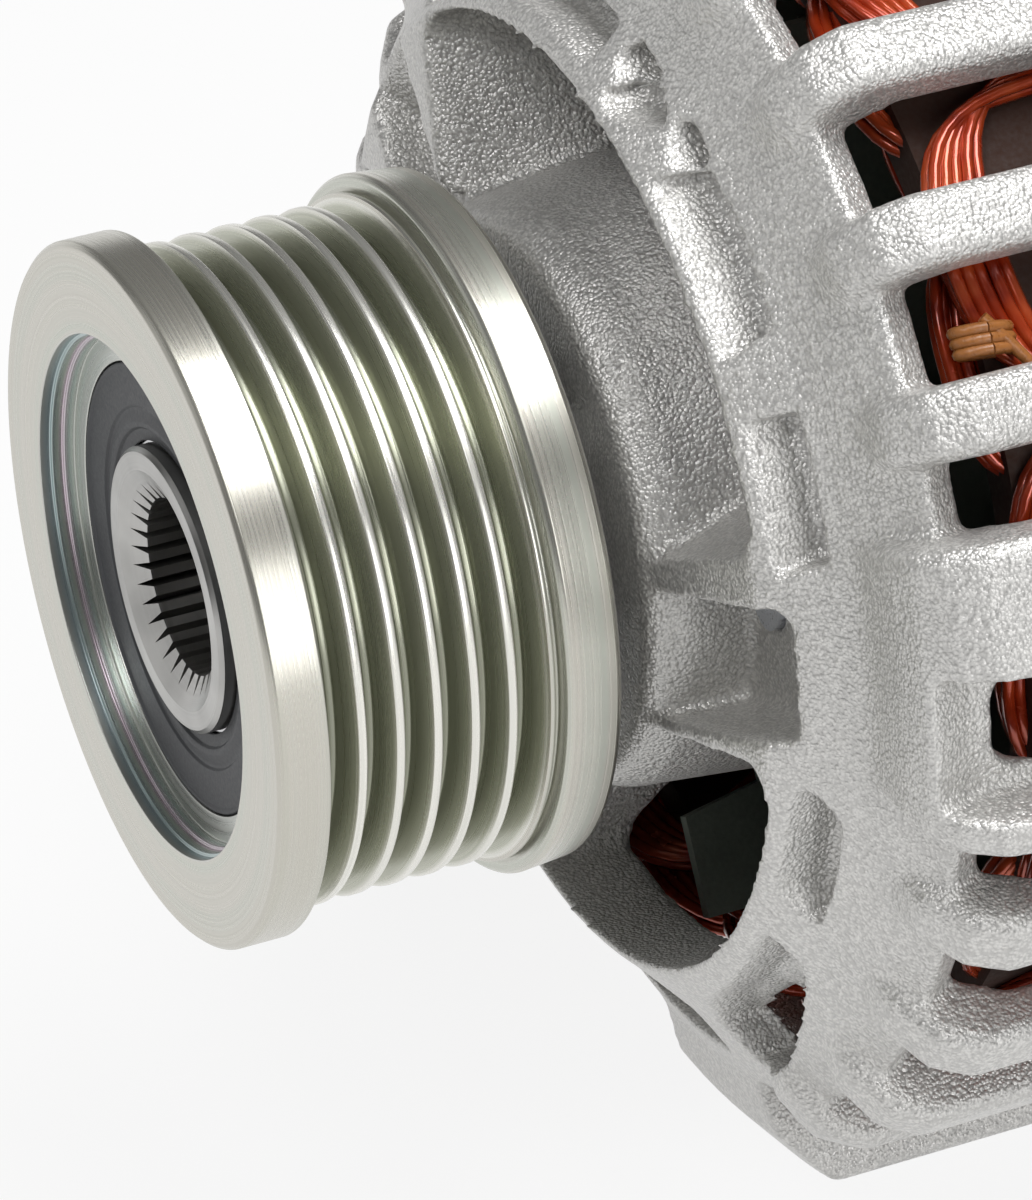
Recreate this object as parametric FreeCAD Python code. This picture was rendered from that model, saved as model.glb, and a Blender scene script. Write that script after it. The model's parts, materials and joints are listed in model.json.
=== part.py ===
import FreeCAD, Part
import math
import os

# Engine alternator with an overrunning belt pulley. Millimetres, +Z up.
# The origin is on the shaft axis, in the plane of the pulley's front face.
# +Y runs rearwards along the shaft. Angles turn from +Z (0) towards +X (90).

V = FreeCAD.Vector
CENTRE = V(0, 0, 0)
AXIS = V(0, 1, 0)

# Clearances
running_clearance = 0.05
seat_gap = 0.03
stator_seat_gap = 0.1
free_gap = 0.4
match_gap = 0.01
wedge_overrun = 0.05
air_gap = 0.4

# Belt pulley
pulley_width = 32.8
pulley_flange_radius = 32.5
pulley_rear_radius = 32.1
pulley_bore_radius = 20.9
groove_count = 6
groove_pitch = 3.56
first_groove_y = 6.97
groove_crest_radius = 30.5
groove_depth = 2.9
groove_bottom_width = 0.7
groove_flank_angle = 20.0
rear_land_radius = 31.0
rear_land_width = 0.45
rear_relief_width = 0.6
rear_relief_depth = 0.8
flange_chamfer = 0.5
recess_radius = 24.1
recess_depth = 3.2
recess_step = 0.35
recess_step_count = 2

# Pulley hub, its bearings and its one-way clutch
hub_radius = 13.2
hub_front_y = 2.5
hub_collar_radius = 12.2
hub_chamfer = 0.4
serration_count = 33
serration_minor_radius = 8.2
serration_major_radius = 9.9
serration_gap_share = 0.22
serration_length = 11.0
hub_lead_in = 1.2
hub_lead_in_length = 1.7
hub_bore_step = 1.0
thread_radius = 7.6
pulley_ball_radius = 2.38
pulley_ball_count = 10
pulley_bearing_width = 8.0
pulley_seal_thickness = 1.0
pulley_seal_bore = 14.9
pulley_seal_gap = 0.2
clutch_sleeve_wall = 2.4
clutch_ramp_wall = 1.3
clutch_roller_count = 12
clutch_cage_margin = 1.3
clutch_cage_wall = 1.4

# Shaft
shaft_nose_gap = 1.3
shaft_nose_chamfer = 1.0
shaft_radius = 8.5
shaft_collar_radius = 11.0
pole_seat_radius = 9.0
shaft_rear_collar_radius = 10.0
slip_seat_radius = 4.5

# Front bearing, its boss and its retainer
pulley_boss_gap = 4.95
boss_wall = 2.8
boss_tube_wall = 4.3
boss_root_wall = 5.8
boss_tube_step = 3.45
boss_chamfer = 0.6
boss_lip_thickness = 3.45
boss_lip_radius = 15.0
front_bearing_outer = 23.5
front_bearing_width = 14.0
front_ball_radius = 4.3
front_ball_count = 7
retainer_thickness = 2.0
retainer_bore_radius = 14.0
retainer_lobe_radius = 6.0
retainer_screw_angles = [79.0, 199.0, 302.0]
retainer_screw_offset = 8.5
retainer_screw_radius = 2.5
retainer_screw_tip = 8.6
retainer_head_radius = 4.2
retainer_head_height = 2.4
retainer_drive_radius = 2.0
retainer_drive_depth = 1.5

# Rear bearing
rear_journal_radius = 7.5
rear_bearing_outer = 17.5
rear_bearing_width = 11.0
rear_ball_radius = 3.0
rear_ball_count = 8
rear_sleeve_wall = 1.2
rear_bearing_set_back = 1.0

# Both bearings
race_shoulder_share = 0.62
bearing_seal_thickness = 0.9
bearing_seal_inset = 0.2
cage_thickness = 1.6
cage_margin = 0.8

# Stator
stator_outer_radius = 62.0
stator_bore_radius = 46.4
stator_length = 32.0
slot_count = 36
slot_width = 4.2
slot_opening = 2.2
tooth_tip = 1.8
stator_yoke = 3.6
slot_throat = 1.2
slot_liner = 0.35
wedge_thickness = 0.4
overhang_inset = 0.4
overhang_spread = 1.2
overhang_root_inset = 1.5
overhang_root_length = 6.0
overhang_length = 22.7
overhang_round = 4.0
overhang_front_gap = 6.0
overhang_rear_gap = 3.3

# Rotor
pole_count = 6
pole_outer_length = 48.0
pole_disc_thickness = 12.0
pole_core_radius = 24.0
claw_root_width = 22.0
claw_tip_width = 8.0
claw_root_inner_radius = 36.0
claw_tip_thickness = 4.0
claw_shoulder = 4.0
claw_tip_gap = 2.0
bobbin_wall = 0.9
bobbin_inset = 0.6
coil_inset = 0.8
fan_plate_thickness = 1.2
fan_bore_radius = 12.0
fan_plate_radius = 33.0
fan_blade_count = 11
fan_front_gap = 0.3
fan_blade_inner_radius = 27.0
fan_tip_gap = 3.2
fan_blade_thickness = 1.5
fan_blade_lean = 32.0
fan_blade_clearance = 0.9
fan_blade_taper = 2.5
fan_tongue_width = 16.0
fan_tongue_tip = 5.0
fan_tongue_reach = 0.85

# Slip rings
slip_ring_radius = 7.5
slip_ring_wall = 1.4
slip_ring_width = 6.2
slip_ring_spacing = 8.0
slip_ring_set_back = 6.0
slip_carrier_margin = 1.6
slip_collar_step = 0.2

# Drive-end bracket
overhang_clearance = 0.8
bracket_wall = 5.1
rim_step = 1.0
rim_length = 16.0
rim_chamfer = 2.0
stator_exposed_length = 8.0
shell_end_inset = 0.4
shell_width = 8.5
shell_wall = 4.0
face_skirt_length = 7.9
annulus_width = 6.9
annulus_set_back = 2.55
annulus_thickness = 9.7
window_draft = 0.4
shoulder_drop = 6.0
shell_drop = 5.0
window_front_ends = [((-47.0, 71.5), (-42.0, 67.0)), ((107.0, 187.0), (91.0, 188.0)),
                     ((212.0, 288.0), (211.0, 286.0))]
window_rear_ends = [((-35.5, 57.0), (-32.5, 60.5)), ((113.0, 183.0), (94.0, 184.0)),
                    ((216.0, 280.0), (215.0, 279.0))]
window_corner = 2.5
bays = [(64.0, 12.0, 47.2), (184.0, 12.0, 47.2), (302.5, 0.0, 45.2)]
bay_half_width = 6.1
bay_floor_radius = 41.0
bay_outer_radius = 49.5
pocket_depth = 5.0
pocket_outer_depth = 2.6
pocket_corner = 1.0
annulus_pockets = [((-18.0, 5.5), (-17.0, 3.5)), ((7.8, 11.4), (6.0, 13.2)), ((12.0, 18.6), (14.4, 17.8)),
                   ((19.8, 23.2), (18.6, 24.2)), ((23.4, 43.0), (26.0, 42.5)), ((50.0, 67.0), (51.0, 67.0)),
                   ((92.0, 112.0), (92.0, 111.0)), ((190.0, 206.0), (190.0, 207.0)),
                   ((212.0, 234.0), (213.0, 232.0)), ((238.0, 260.0), (236.0, 261.0)),
                   ((264.0, 288.0), (265.0, 287.0)), ((318.0, 338.0), (319.0, 337.0))]
wide_pockets = [((117.0, 150.0), (120.0, 150.0)), ((157.0, 183.0), (157.0, 179.0))]
pocket_inner_margin = 1.2
pocket_outer_margin = 1.2
wide_pocket_margin = 4.0
slat_angles = [11.5, 26.0, 40.8, 55.4, 100.5, 115.5, 130.5, 145.5, 191.5, 206.5, 221.5, 236.5,
               280.0, 294.5, 309.0, 323.5]
slat_half_angle = 3.0
slat_round = 1.6
slat_nose_inset = 5.4
slat_nose_lift = 3.0
slat_front_lift = 2.7
slat_top_inset = 2.0
slat_shoulder_length = 3.7
slat_rear_slope = 4.0
lug_angles = [(64.5, 90.0), (244.5, 270.0)]
lug_step = 2.0
lug_nose_inset = 7.4
lug_nose_lift = 4.4
lug_shoulder_radius = 9.0
lug_shoulder_points = 4
lug_round = 1.5
column_angles = [167, 347]
column_half_angle = 10.0
column_step = 6.0
column_edge = 6.0
column_nose_inset = 3.0
column_nose_slope = 1.0
recess_offset = 3.5
recess_half_angle = 5.8
recess_lift = 5.3
lug_recess_depth = 6.5
recess_wall_length = 6.0
recess_length = 22.0
recess_corner = 2.5
recess_hole_start = 2.2
recess_hole_length = 9.0
recess_hole_half_angle = 4.2
recess_hole_corner = 2.8
ear_reach = 13.8
ear_angles = [77, 257]
ear_eye_radius = 11.0
ear_thickness = 14.0
ear_root_half_width = 15.0
ear_bolt_radius = 5.25

# Through bolts
bolt_angles = [77, 167, 257, 347]
bolt_stator_gap = 1.2
bolt_radius = 2.5
bolt_boss_radius = 6.5
bolt_thread_length = 12.0
bolt_head_radius = 4.6
bolt_head_height = 4.0
bolt_drive_radius = 2.2
bolt_drive_depth = 2.4

# Slip-ring end bracket
rear_rim_length = 18.0
rear_wall = 5.0
rear_shoulder_length = 7.0
rear_slat_count = 24
rear_slat_half_angle = 2.6
rear_hub_wall = 4.3
rear_hub_length = 14.0
rear_window_gap = 4.0
rear_window_depth = 17.0
rear_window_count = 8
rear_window_half_angle = 17.0
bush_radius = 7.5
bush_length = 20.0
rear_ear_thickness = 16.0
bolt_seat_height = 2.0

# Rectifier
rectifier_start = 106.0
rectifier_end = 280.0
plate_inner_margin = 8.5
plate_outer_margin = 8.0
negative_plate_thickness = 3.0
positive_plate_thickness = 4.0
plate_gap = 5.0
diode_radius = 6.35
diode_height = 7.5
diode_step = 1.6
diode_lead_radius = 0.7
diode_lead_length = 3.0
first_diode_angle = 118.0
diode_spacing = 24.0
diode_pairs = 3
diode_hole_margin = 0.8
carrier_thickness = 1.9
carrier_web_depth = 3.5
carrier_post_gap = 0.6
carrier_web_half_angle = 3.5

# Brushes and regulator
brush_width = 7.0
brush_thickness = 4.6
brush_length = 15.0
brush_wear = 0.8
brush_seat_gap = 0.3
holder_clearance = 0.15
holder_wall = 1.8
holder_lift = 2.2
spring_radius = 1.7
spring_wire_radius = 0.35
spring_turns = 5
spring_length = 11.0
regulator_width = 46.0
holder_neck = 2.2
regulator_height = 12.0
regulator_depth = 13.0
socket_width = 20.0
socket_depth = 14.0
socket_wall = 1.6
socket_height = 18.0
socket_x = 12.0
socket_cavity = 12.0
pin_width = 1.6
pin_thickness = 0.8
pin_count = 3
pin_pitch = 4.6
pin_inset = 4.0
sink_margin = 2.0
sink_width = 24.0
sink_thickness = 1.5
sink_rib_height = 3.0
sink_rib_width = 2.0
sink_rib_count = 5

# Rear cover and output terminal
cover_step = 8.5
cover_depth = 25.0
cover_wall = 2.0
cover_round = 6.0
vent_count = 22
vent_first_angle = 60.0
vent_span = 240.0
vent_half_angle = 3.0
vent_inner_radius = 20.0
vent_post_gap = 1.5
vent_wall = 0.9
cover_post_angles = [70, 180, 290]
cover_post_inset = 0.2
cover_stud_radius = 2.5
cover_post_radius = 6.4
cover_nut_radius = 4.62
cover_nut_height = 3.5
cover_seat_margin = 0.6
cover_seat_depth = 4.0
cover_stud_end = 2.0
stud_angle = 264.0
stud_radius = 4.0
stud_core_radius = 3.5
stud_end_length = 16.0
stud_head_radius = 6.0
stud_head_thickness = 2.0
stud_insulator_radius = 7.8
stud_insulator_gap = 0.2
stud_insulator_lift = 2.5
stud_nut_radius = 7.4
stud_nut_height = 5.5

# Places that follow from the sizes above
flank_run = math.tan(math.radians(groove_flank_angle))
groove_half_opening = groove_bottom_width / 2 + groove_depth * flank_run
front_race_y = recess_depth + pulley_seal_thickness + pulley_seal_gap
rear_race_y = pulley_width - front_race_y - pulley_bearing_width
clutch_front_y = front_race_y + pulley_bearing_width + free_gap
clutch_rear_y = rear_race_y - free_gap
hub_bore_y = hub_front_y + serration_length + hub_lead_in
shaft_nose_y = hub_bore_y + hub_bore_step + shaft_nose_gap
boss_front_y = pulley_width + pulley_boss_gap
boss_front_radius = front_bearing_outer + boss_wall
boss_tube_radius = front_bearing_outer + boss_tube_wall
boss_root_radius = front_bearing_outer + boss_root_wall
boss_tube_y = boss_front_y + boss_tube_step
retainer_screw_circle = front_bearing_outer + retainer_screw_offset
bearing_front_y = boss_front_y + boss_lip_thickness
bearing_rear_y = bearing_front_y + front_bearing_width
screw_tip_y = bearing_rear_y - retainer_screw_tip
slot_inner_radius = stator_bore_radius + tooth_tip
slot_outer_radius = stator_outer_radius - stator_yoke
overhang_inner_radius = slot_inner_radius + overhang_inset
overhang_outer_radius = slot_outer_radius + overhang_spread
stator_seat_radius = stator_outer_radius + stator_seat_gap
bracket_inner_radius = overhang_outer_radius + overhang_clearance
bracket_radius = bracket_inner_radius + bracket_wall
rim_radius = bracket_radius + rim_step
lug_radius = bracket_radius + lug_step
column_radius = bracket_radius + column_step
shell_end_radius = bracket_inner_radius - shell_end_inset
shoulder_radius = shell_end_radius - shell_width
window_outer_radius = shoulder_radius - annulus_width
annulus_y = boss_front_y + annulus_set_back
annulus_rear_y = annulus_y + annulus_thickness
shoulder_y = annulus_y + shoulder_drop
shell_end_y = shoulder_y + shell_drop
face_rear_y = shell_end_y + face_skirt_length
slat_shoulder_y = shell_end_y + slat_shoulder_length
recess_front_y = shell_end_y - recess_lift
stator_centre_y = shell_end_y + overhang_front_gap + overhang_length + stator_length / 2
stator_front_y = stator_centre_y - stator_length / 2
stator_rear_y = stator_centre_y + stator_length / 2
bracket_rear_y = stator_centre_y - stator_exposed_length / 2
rim_front_y = bracket_rear_y - rim_length
ear_radius = rim_radius + ear_reach
bolt_circle = stator_seat_radius + bolt_radius + bolt_stator_gap
pole_front_y = stator_centre_y - pole_outer_length / 2
pole_rear_y = stator_centre_y + pole_outer_length / 2
pole_disc_rear_y = pole_front_y + pole_disc_thickness
rotor_radius = stator_bore_radius - air_gap
bobbin_radius = claw_root_inner_radius - bobbin_inset
coil_radius = bobbin_radius - coil_inset
fan_blade_outer_radius = overhang_inner_radius - fan_tip_gap
fan_blade_front_y = bearing_rear_y + retainer_thickness + fan_front_gap
rear_rim_front_y = stator_centre_y + stator_exposed_length / 2
rear_rim_rear_y = rear_rim_front_y + rear_rim_length
rear_back_y = stator_rear_y + overhang_length + overhang_rear_gap + rear_wall
rear_shoulder_y = rear_back_y - rear_shoulder_length
rear_bearing_front_y = rear_back_y - rear_bearing_set_back - rear_bearing_width
rear_bearing_rear_y = rear_bearing_front_y + rear_bearing_width
rear_sleeve_radius = rear_bearing_outer + rear_sleeve_wall
rear_hub_radius = rear_sleeve_radius + rear_hub_wall
rear_window_inner_radius = rear_hub_radius + rear_window_gap
rear_window_outer_radius = rear_window_inner_radius + rear_window_depth
bolt_seat_y = rear_rim_rear_y + bolt_seat_height
cover_radius = bracket_radius - cover_step
cover_rear_y = rear_back_y + cover_depth
cover_seat_y = cover_rear_y - cover_seat_depth
cover_post_circle = cover_radius - cover_post_radius - cover_post_inset
cover_post_inner_radius = cover_post_circle - cover_post_radius
vent_outer_radius = cover_post_inner_radius - vent_post_gap
plate_outer_radius = cover_post_inner_radius - carrier_post_gap - carrier_thickness
diode_circle = plate_outer_radius - plate_outer_margin
plate_inner_radius = diode_circle - plate_inner_margin
stud_circle = diode_circle
negative_rear_y = rear_back_y + negative_plate_thickness
positive_front_y = negative_rear_y + plate_gap
positive_rear_y = positive_front_y + positive_plate_thickness
diode_angles = [first_diode_angle + k * diode_spacing for k in range(2 * diode_pairs)]
stud_seat_y = cover_rear_y + stud_insulator_lift
stud_end_y = cover_rear_y + stud_end_length
first_slip_ring_y = rear_back_y + slip_ring_set_back
slip_end_y = first_slip_ring_y + slip_ring_spacing + slip_ring_width + slip_carrier_margin
brush_bottom_z = slip_ring_radius + brush_seat_gap - brush_wear
brush_top_z = brush_bottom_z + brush_length
spring_top_z = brush_top_z + spring_length
holder_top_z = spring_top_z + holder_wall
regulator_bottom_z = holder_top_z + holder_neck
regulator_top_z = regulator_bottom_z + regulator_height
regulator_rear_y = rear_back_y + regulator_depth
socket_top_z = regulator_top_z + socket_height
socket_floor_z = socket_top_z - socket_cavity


def outward(solid):
    if solid.Volume < 0:
        solid.reverse()
    return solid


def section_face(points):
    corners = [V(radius, y, 0) for radius, y in points]
    return Part.Face(Part.makePolygon(corners + corners[:1]))


def revolved(points):
    return outward(section_face(points).revolve(CENTRE, AXIS, 360))


def sector(points, start, end):
    face = section_face(points)
    face.rotate(CENTRE, AXIS, start - 90)
    return outward(face.revolve(CENTRE, AXIS, end - start))


def ring(inner, outer, front, rear):
    return revolved([(inner, front), (outer, front), (outer, rear), (inner, rear)])


def disc(radius, front, rear):
    return Part.makeCylinder(radius, rear - front, V(0, front, 0), AXIS)


def rod(radius, front, rear, circle, angle):
    x, z = polar(circle, angle)
    return Part.makeCylinder(radius, rear - front, V(x, front, z), AXIS)


def block(x0, x1, y0, y1, z0, z1):
    return Part.makeBox(x1 - x0, y1 - y0, z1 - z0, V(x0, y0, z0))


def polar(radius, angle):
    turn = math.radians(angle)
    return radius * math.sin(turn), radius * math.cos(turn)


def turned(shape, angle):
    copy = shape.copy()
    copy.rotate(CENTRE, AXIS, angle)
    return copy


def repeated(shape, count, start=0.0):
    return [turned(shape, start + index * 360.0 / count) for index in range(count)]


def prism(points, front, rear):
    corners = [V(x, front, z) for x, z in points]
    face = Part.Face(Part.makePolygon(corners + corners[:1]))
    return outward(face.extrude(V(0, rear - front, 0)))


def hexagon(radius, front, rear, circle=0.0, angle=0.0):
    x, z = polar(circle, angle)
    points = [(x + radius * math.cos(math.radians(60 * k)), z + radius * math.sin(math.radians(60 * k)))
              for k in range(6)]
    return prism(points, front, rear)


def joined(shapes):
    whole = shapes[0].fuse(shapes[1:]) if len(shapes) > 1 else shapes[0]
    return whole.removeSplitter()


def save(name, shape):
    shape.exportStep("parts/" + name + ".step")


def ball(radius, sides=8):
    # A bearing ball with few flat faces, inside the true sphere
    wires = []
    for latitude in (-70, -35, 0, 35, 70):
        height = radius * math.sin(math.radians(latitude))
        width = radius * math.cos(math.radians(latitude))
        turns = [2 * math.pi * k / sides for k in range(sides)]
        corners = [V(width * math.cos(turn), height, width * math.sin(turn)) for turn in turns]
        wires.append(Part.makePolygon(corners + corners[:1]))
    return outward(Part.makeLoft(wires, True, True))


def ball_row(radius, count, pitch, middle):
    one = ball(radius)
    one.translate(V(0, middle, pitch))
    return repeated(one, count)


def bearing(bore, outer, front, width, ball_radius, ball_count):
    # Deep-groove bearing: two races with a three-sided groove, balls and a cage
    pitch = (bore + outer) / 2
    middle = front + width / 2
    rear = front + width
    reach = ball_radius + running_clearance
    shoulder = race_shoulder_share * ball_radius
    slope = reach - shoulder
    race_bore = bore + seat_gap
    race_outside = outer - seat_gap
    inner = revolved([(race_bore, front), (pitch - shoulder, front), (pitch - shoulder, middle - reach),
                      (pitch - reach, middle - reach + slope), (pitch - reach, middle + reach - slope),
                      (pitch - shoulder, middle + reach), (pitch - shoulder, rear), (race_bore, rear)])
    outer_race = revolved([(race_outside, front), (race_outside, rear), (pitch + shoulder, rear),
                           (pitch + shoulder, middle + reach), (pitch + reach, middle + reach - slope),
                           (pitch + reach, middle - reach + slope), (pitch + shoulder, middle - reach),
                           (pitch + shoulder, front)])
    balls = ball_row(ball_radius, ball_count, pitch, middle)
    half_cage = ball_radius + cage_margin
    half_wall = cage_thickness / 2
    cage = ring(pitch - half_wall, pitch + half_wall, middle - half_cage, middle + half_cage)
    pocket = Part.makeCylinder(reach, 2 * cage_thickness, V(0, middle, pitch - cage_thickness), V(0, 0, 1))
    cage = cage.cut(repeated(pocket, ball_count))
    return inner, outer_race, Part.Compound(balls), cage


def pulley_ring():
    half = groove_half_opening
    bottom = groove_crest_radius - groove_depth
    first = first_groove_y
    last = first + (groove_count - 1) * groove_pitch
    rise = pulley_flange_radius - groove_crest_radius
    points = [(pulley_flange_radius - flange_chamfer, 0), (pulley_flange_radius, flange_chamfer),
              (pulley_flange_radius, first - half - rise * flank_run)]
    for index in range(groove_count):
        centre = first + index * groove_pitch
        if index > 0:
            points.append((groove_crest_radius, centre - half))
        points.append((bottom, centre - groove_bottom_width / 2))
        points.append((bottom, centre + groove_bottom_width / 2))
        if index < groove_count - 1:
            points.append((groove_crest_radius, centre + half))
    land = last + half + (rear_land_radius - groove_crest_radius) * flank_run
    relief = land + rear_land_width
    flange = relief + rear_relief_width
    points += [(rear_land_radius, land), (rear_land_radius, relief),
               (rear_land_radius - rear_relief_depth, relief),
               (rear_land_radius - rear_relief_depth, flange),
               (pulley_flange_radius - flange_chamfer, flange),
               (pulley_flange_radius, flange + flange_chamfer),
               (pulley_rear_radius, pulley_width - flange_chamfer),
               (pulley_rear_radius - flange_chamfer, pulley_width)]
    steps = [(recess_radius - k * recess_step, (k + 1) * recess_depth / (recess_step_count + 1))
             for k in range(recess_step_count + 1)]
    inner = [(recess_radius, 0)]
    for index, (radius, depth) in enumerate(steps):
        inner.append((radius, depth))
        if index < recess_step_count:
            inner.append((radius - recess_step, depth))
    inner.append((pulley_bore_radius, recess_depth))
    mirrored = [(radius, pulley_width - depth) for radius, depth in inner]
    return revolved(points + mirrored + inner[::-1])


def pulley_hub():
    rear = bearing_front_y
    collar_y = pulley_width - recess_depth
    bore = thread_radius + seat_gap
    body = revolved([(serration_minor_radius, hub_front_y), (hub_radius - hub_chamfer, hub_front_y),
                     (hub_radius, hub_front_y + hub_chamfer), (hub_radius, collar_y),
                     (hub_collar_radius, collar_y), (hub_collar_radius, rear), (bore, rear),
                     (bore, hub_bore_y + hub_bore_step), (serration_minor_radius, hub_bore_y)])
    lead_end = hub_front_y + hub_lead_in_length
    lead = revolved([(0, hub_front_y), (serration_major_radius + hub_lead_in, hub_front_y),
                     (serration_minor_radius, lead_end), (0, lead_end)])
    pitch_angle = 360.0 / serration_count
    points = []
    for index in range(serration_count):
        for share, radius in ((-serration_gap_share, serration_minor_radius), (0.0, serration_major_radius),
                              (serration_gap_share, serration_minor_radius)):
            points.append(polar(radius, (index + share) * pitch_angle))
    serration = prism(points, hub_front_y, hub_front_y + serration_length)
    return body.cut([lead, serration])


def clutch():
    # One-way roller clutch between the hub and the pulley ring
    sleeve_inner = pulley_bore_radius - clutch_sleeve_wall
    ramp_outer = hub_radius + clutch_ramp_wall
    roller_radius = (sleeve_inner - ramp_outer) / 2 - running_clearance
    circle = (sleeve_inner + ramp_outer) / 2
    sleeve = ring(sleeve_inner, pulley_bore_radius - seat_gap, clutch_front_y, clutch_rear_y)
    corner = ramp_outer / math.cos(math.pi / clutch_roller_count)
    flat_angle = 360 / clutch_roller_count
    ramp = prism([polar(corner, (k + 0.5) * flat_angle) for k in range(clutch_roller_count)],
                 clutch_front_y, clutch_rear_y)
    ramp = ramp.cut(disc(hub_radius + seat_gap, clutch_front_y, clutch_rear_y))
    front = clutch_front_y + clutch_cage_margin
    rear = clutch_rear_y - clutch_cage_margin
    rollers = repeated(rod(roller_radius, front, rear, circle, 0), clutch_roller_count)
    half_wall = clutch_cage_wall / 2
    cage = ring(circle - half_wall, circle + half_wall, clutch_front_y, clutch_rear_y)
    slot = rod(roller_radius + running_clearance, front - running_clearance, rear + running_clearance,
               circle, 0)
    cage = cage.cut(repeated(slot, clutch_roller_count))
    return sleeve, ramp, Part.Compound(rollers), cage


def rotor_shaft():
    points = [(0, shaft_nose_y), (thread_radius - shaft_nose_chamfer, shaft_nose_y),
              (thread_radius, shaft_nose_y + shaft_nose_chamfer), (thread_radius, bearing_front_y),
              (shaft_radius, bearing_front_y), (shaft_radius, bearing_rear_y),
              (shaft_collar_radius, bearing_rear_y), (shaft_collar_radius, pole_front_y),
              (pole_seat_radius, pole_front_y), (pole_seat_radius, pole_rear_y),
              (shaft_rear_collar_radius, pole_rear_y), (shaft_rear_collar_radius, rear_bearing_front_y),
              (rear_journal_radius, rear_bearing_front_y), (rear_journal_radius, rear_bearing_rear_y),
              (slip_seat_radius, rear_bearing_rear_y), (slip_seat_radius, slip_end_y), (0, slip_end_y)]
    return revolved(points)


def claw_pole():
    # Front half of the claw-pole rotor; the rear half is the same piece turned round
    claw_tip_y = pole_rear_y - claw_tip_gap
    envelope = revolved([(0, pole_front_y), (rotor_radius - claw_shoulder, pole_front_y),
                         (rotor_radius, pole_front_y + claw_shoulder), (rotor_radius, claw_tip_y),
                         (rotor_radius - claw_tip_thickness, claw_tip_y),
                         (claw_root_inner_radius, pole_disc_rear_y), (0, pole_disc_rear_y)])
    root = claw_root_width / 2
    tip = claw_tip_width / 2
    claw_face = [V(-root, pole_front_y, 0), V(root, pole_front_y, 0), V(root, pole_disc_rear_y, 0),
                 V(tip, claw_tip_y, 0), V(-tip, claw_tip_y, 0), V(-root, pole_disc_rear_y, 0)]
    outline = Part.Face(Part.makePolygon(claw_face + claw_face[:1]))
    claw = outward(outline.extrude(V(0, 0, stator_bore_radius)))
    star = joined([disc(claw_root_inner_radius, pole_front_y, pole_disc_rear_y)]
                  + repeated(claw, pole_count))
    core = disc(pole_core_radius, pole_disc_rear_y, stator_centre_y)
    return joined([envelope.common(star), core]).cut(
        disc(pole_seat_radius + seat_gap, pole_front_y, pole_rear_y))


def turned_round(shape):
    copy = shape.copy()
    copy.rotate(V(0, stator_centre_y, 0), V(0, 0, 1), 180)
    return turned(copy, 180.0 / pole_count)


def field_winding():
    front = pole_front_y + pole_disc_thickness
    rear = pole_rear_y - pole_disc_thickness
    bore = pole_core_radius + seat_gap
    tube = bore + bobbin_wall
    bobbin = revolved([(bore, front), (bobbin_radius, front), (bobbin_radius, front + bobbin_wall),
                       (tube, front + bobbin_wall), (tube, rear - bobbin_wall),
                       (bobbin_radius, rear - bobbin_wall), (bobbin_radius, rear), (bore, rear)])
    coil = ring(tube + seat_gap, coil_radius, front + bobbin_wall, rear - bobbin_wall)
    return bobbin, coil


def fan():
    # Front fan: a stamped plate with its blades bent forward, cut back over the retainer's screws
    plate_front = pole_front_y - fan_plate_thickness
    blade_front = fan_blade_front_y
    inner_front = bearing_rear_y + retainer_thickness + retainer_head_height + fan_blade_clearance
    cut_back_radius = retainer_screw_circle + retainer_head_radius + fan_blade_clearance
    plate = ring(fan_bore_radius, fan_plate_radius, plate_front, pole_front_y)
    lean = math.radians(fan_blade_lean)
    length = (fan_blade_outer_radius - fan_blade_inner_radius) / math.cos(lean)
    half_blade = fan_blade_thickness / 2
    blade = block(-half_blade, half_blade, blade_front, pole_front_y, 0, length)
    blade.rotate(CENTRE, AXIS, fan_blade_lean)
    blade.translate(V(0, 0, fan_blade_inner_radius))
    tip_x = fan_tongue_reach * length * math.sin(lean)
    tip_z = fan_blade_inner_radius + fan_tongue_reach * length * math.cos(lean)
    root = fan_plate_radius - fan_tongue_tip / 2
    tongue = prism([(-fan_tongue_width / 2, root), (fan_tongue_width / 2, root),
                    (tip_x + fan_tongue_tip, tip_z - fan_tongue_tip), (tip_x, tip_z)],
                   plate_front, pole_front_y)
    whole = joined([plate] + repeated(blade, fan_blade_count) + repeated(tongue, fan_blade_count))
    room = revolved([(fan_bore_radius, inner_front), (cut_back_radius, inner_front),
                     (cut_back_radius + fan_blade_taper, blade_front), (fan_blade_outer_radius, blade_front),
                     (fan_blade_outer_radius, pole_front_y), (fan_bore_radius, pole_front_y)])
    return whole.common(room).removeSplitter()


def stator_core():
    core = ring(stator_bore_radius, stator_outer_radius, stator_front_y, stator_rear_y)
    half = slot_width / 2
    mouth = slot_opening / 2
    throat = slot_inner_radius + slot_throat
    slot = prism([(-mouth, stator_bore_radius - 1), (mouth, stator_bore_radius - 1),
                  (mouth, slot_inner_radius), (half, throat), (half, slot_outer_radius),
                  (-half, slot_outer_radius), (-half, throat), (-mouth, slot_inner_radius)],
                 stator_front_y, stator_rear_y)
    return core.cut(repeated(slot, slot_count))


def overhang(end_y, direction):
    # One end turn bundle of the stator winding
    tip = end_y + direction * overhang_length
    bevel = min(overhang_round, (overhang_outer_radius - overhang_inner_radius) / 3)
    return revolved([(overhang_inner_radius, end_y), (overhang_outer_radius - overhang_root_inset, end_y),
                     (overhang_outer_radius, end_y + direction * overhang_root_length),
                     (overhang_outer_radius, tip - direction * bevel), (overhang_outer_radius - bevel, tip),
                     (overhang_inner_radius + bevel, tip), (overhang_inner_radius, tip - direction * bevel)])


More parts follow.
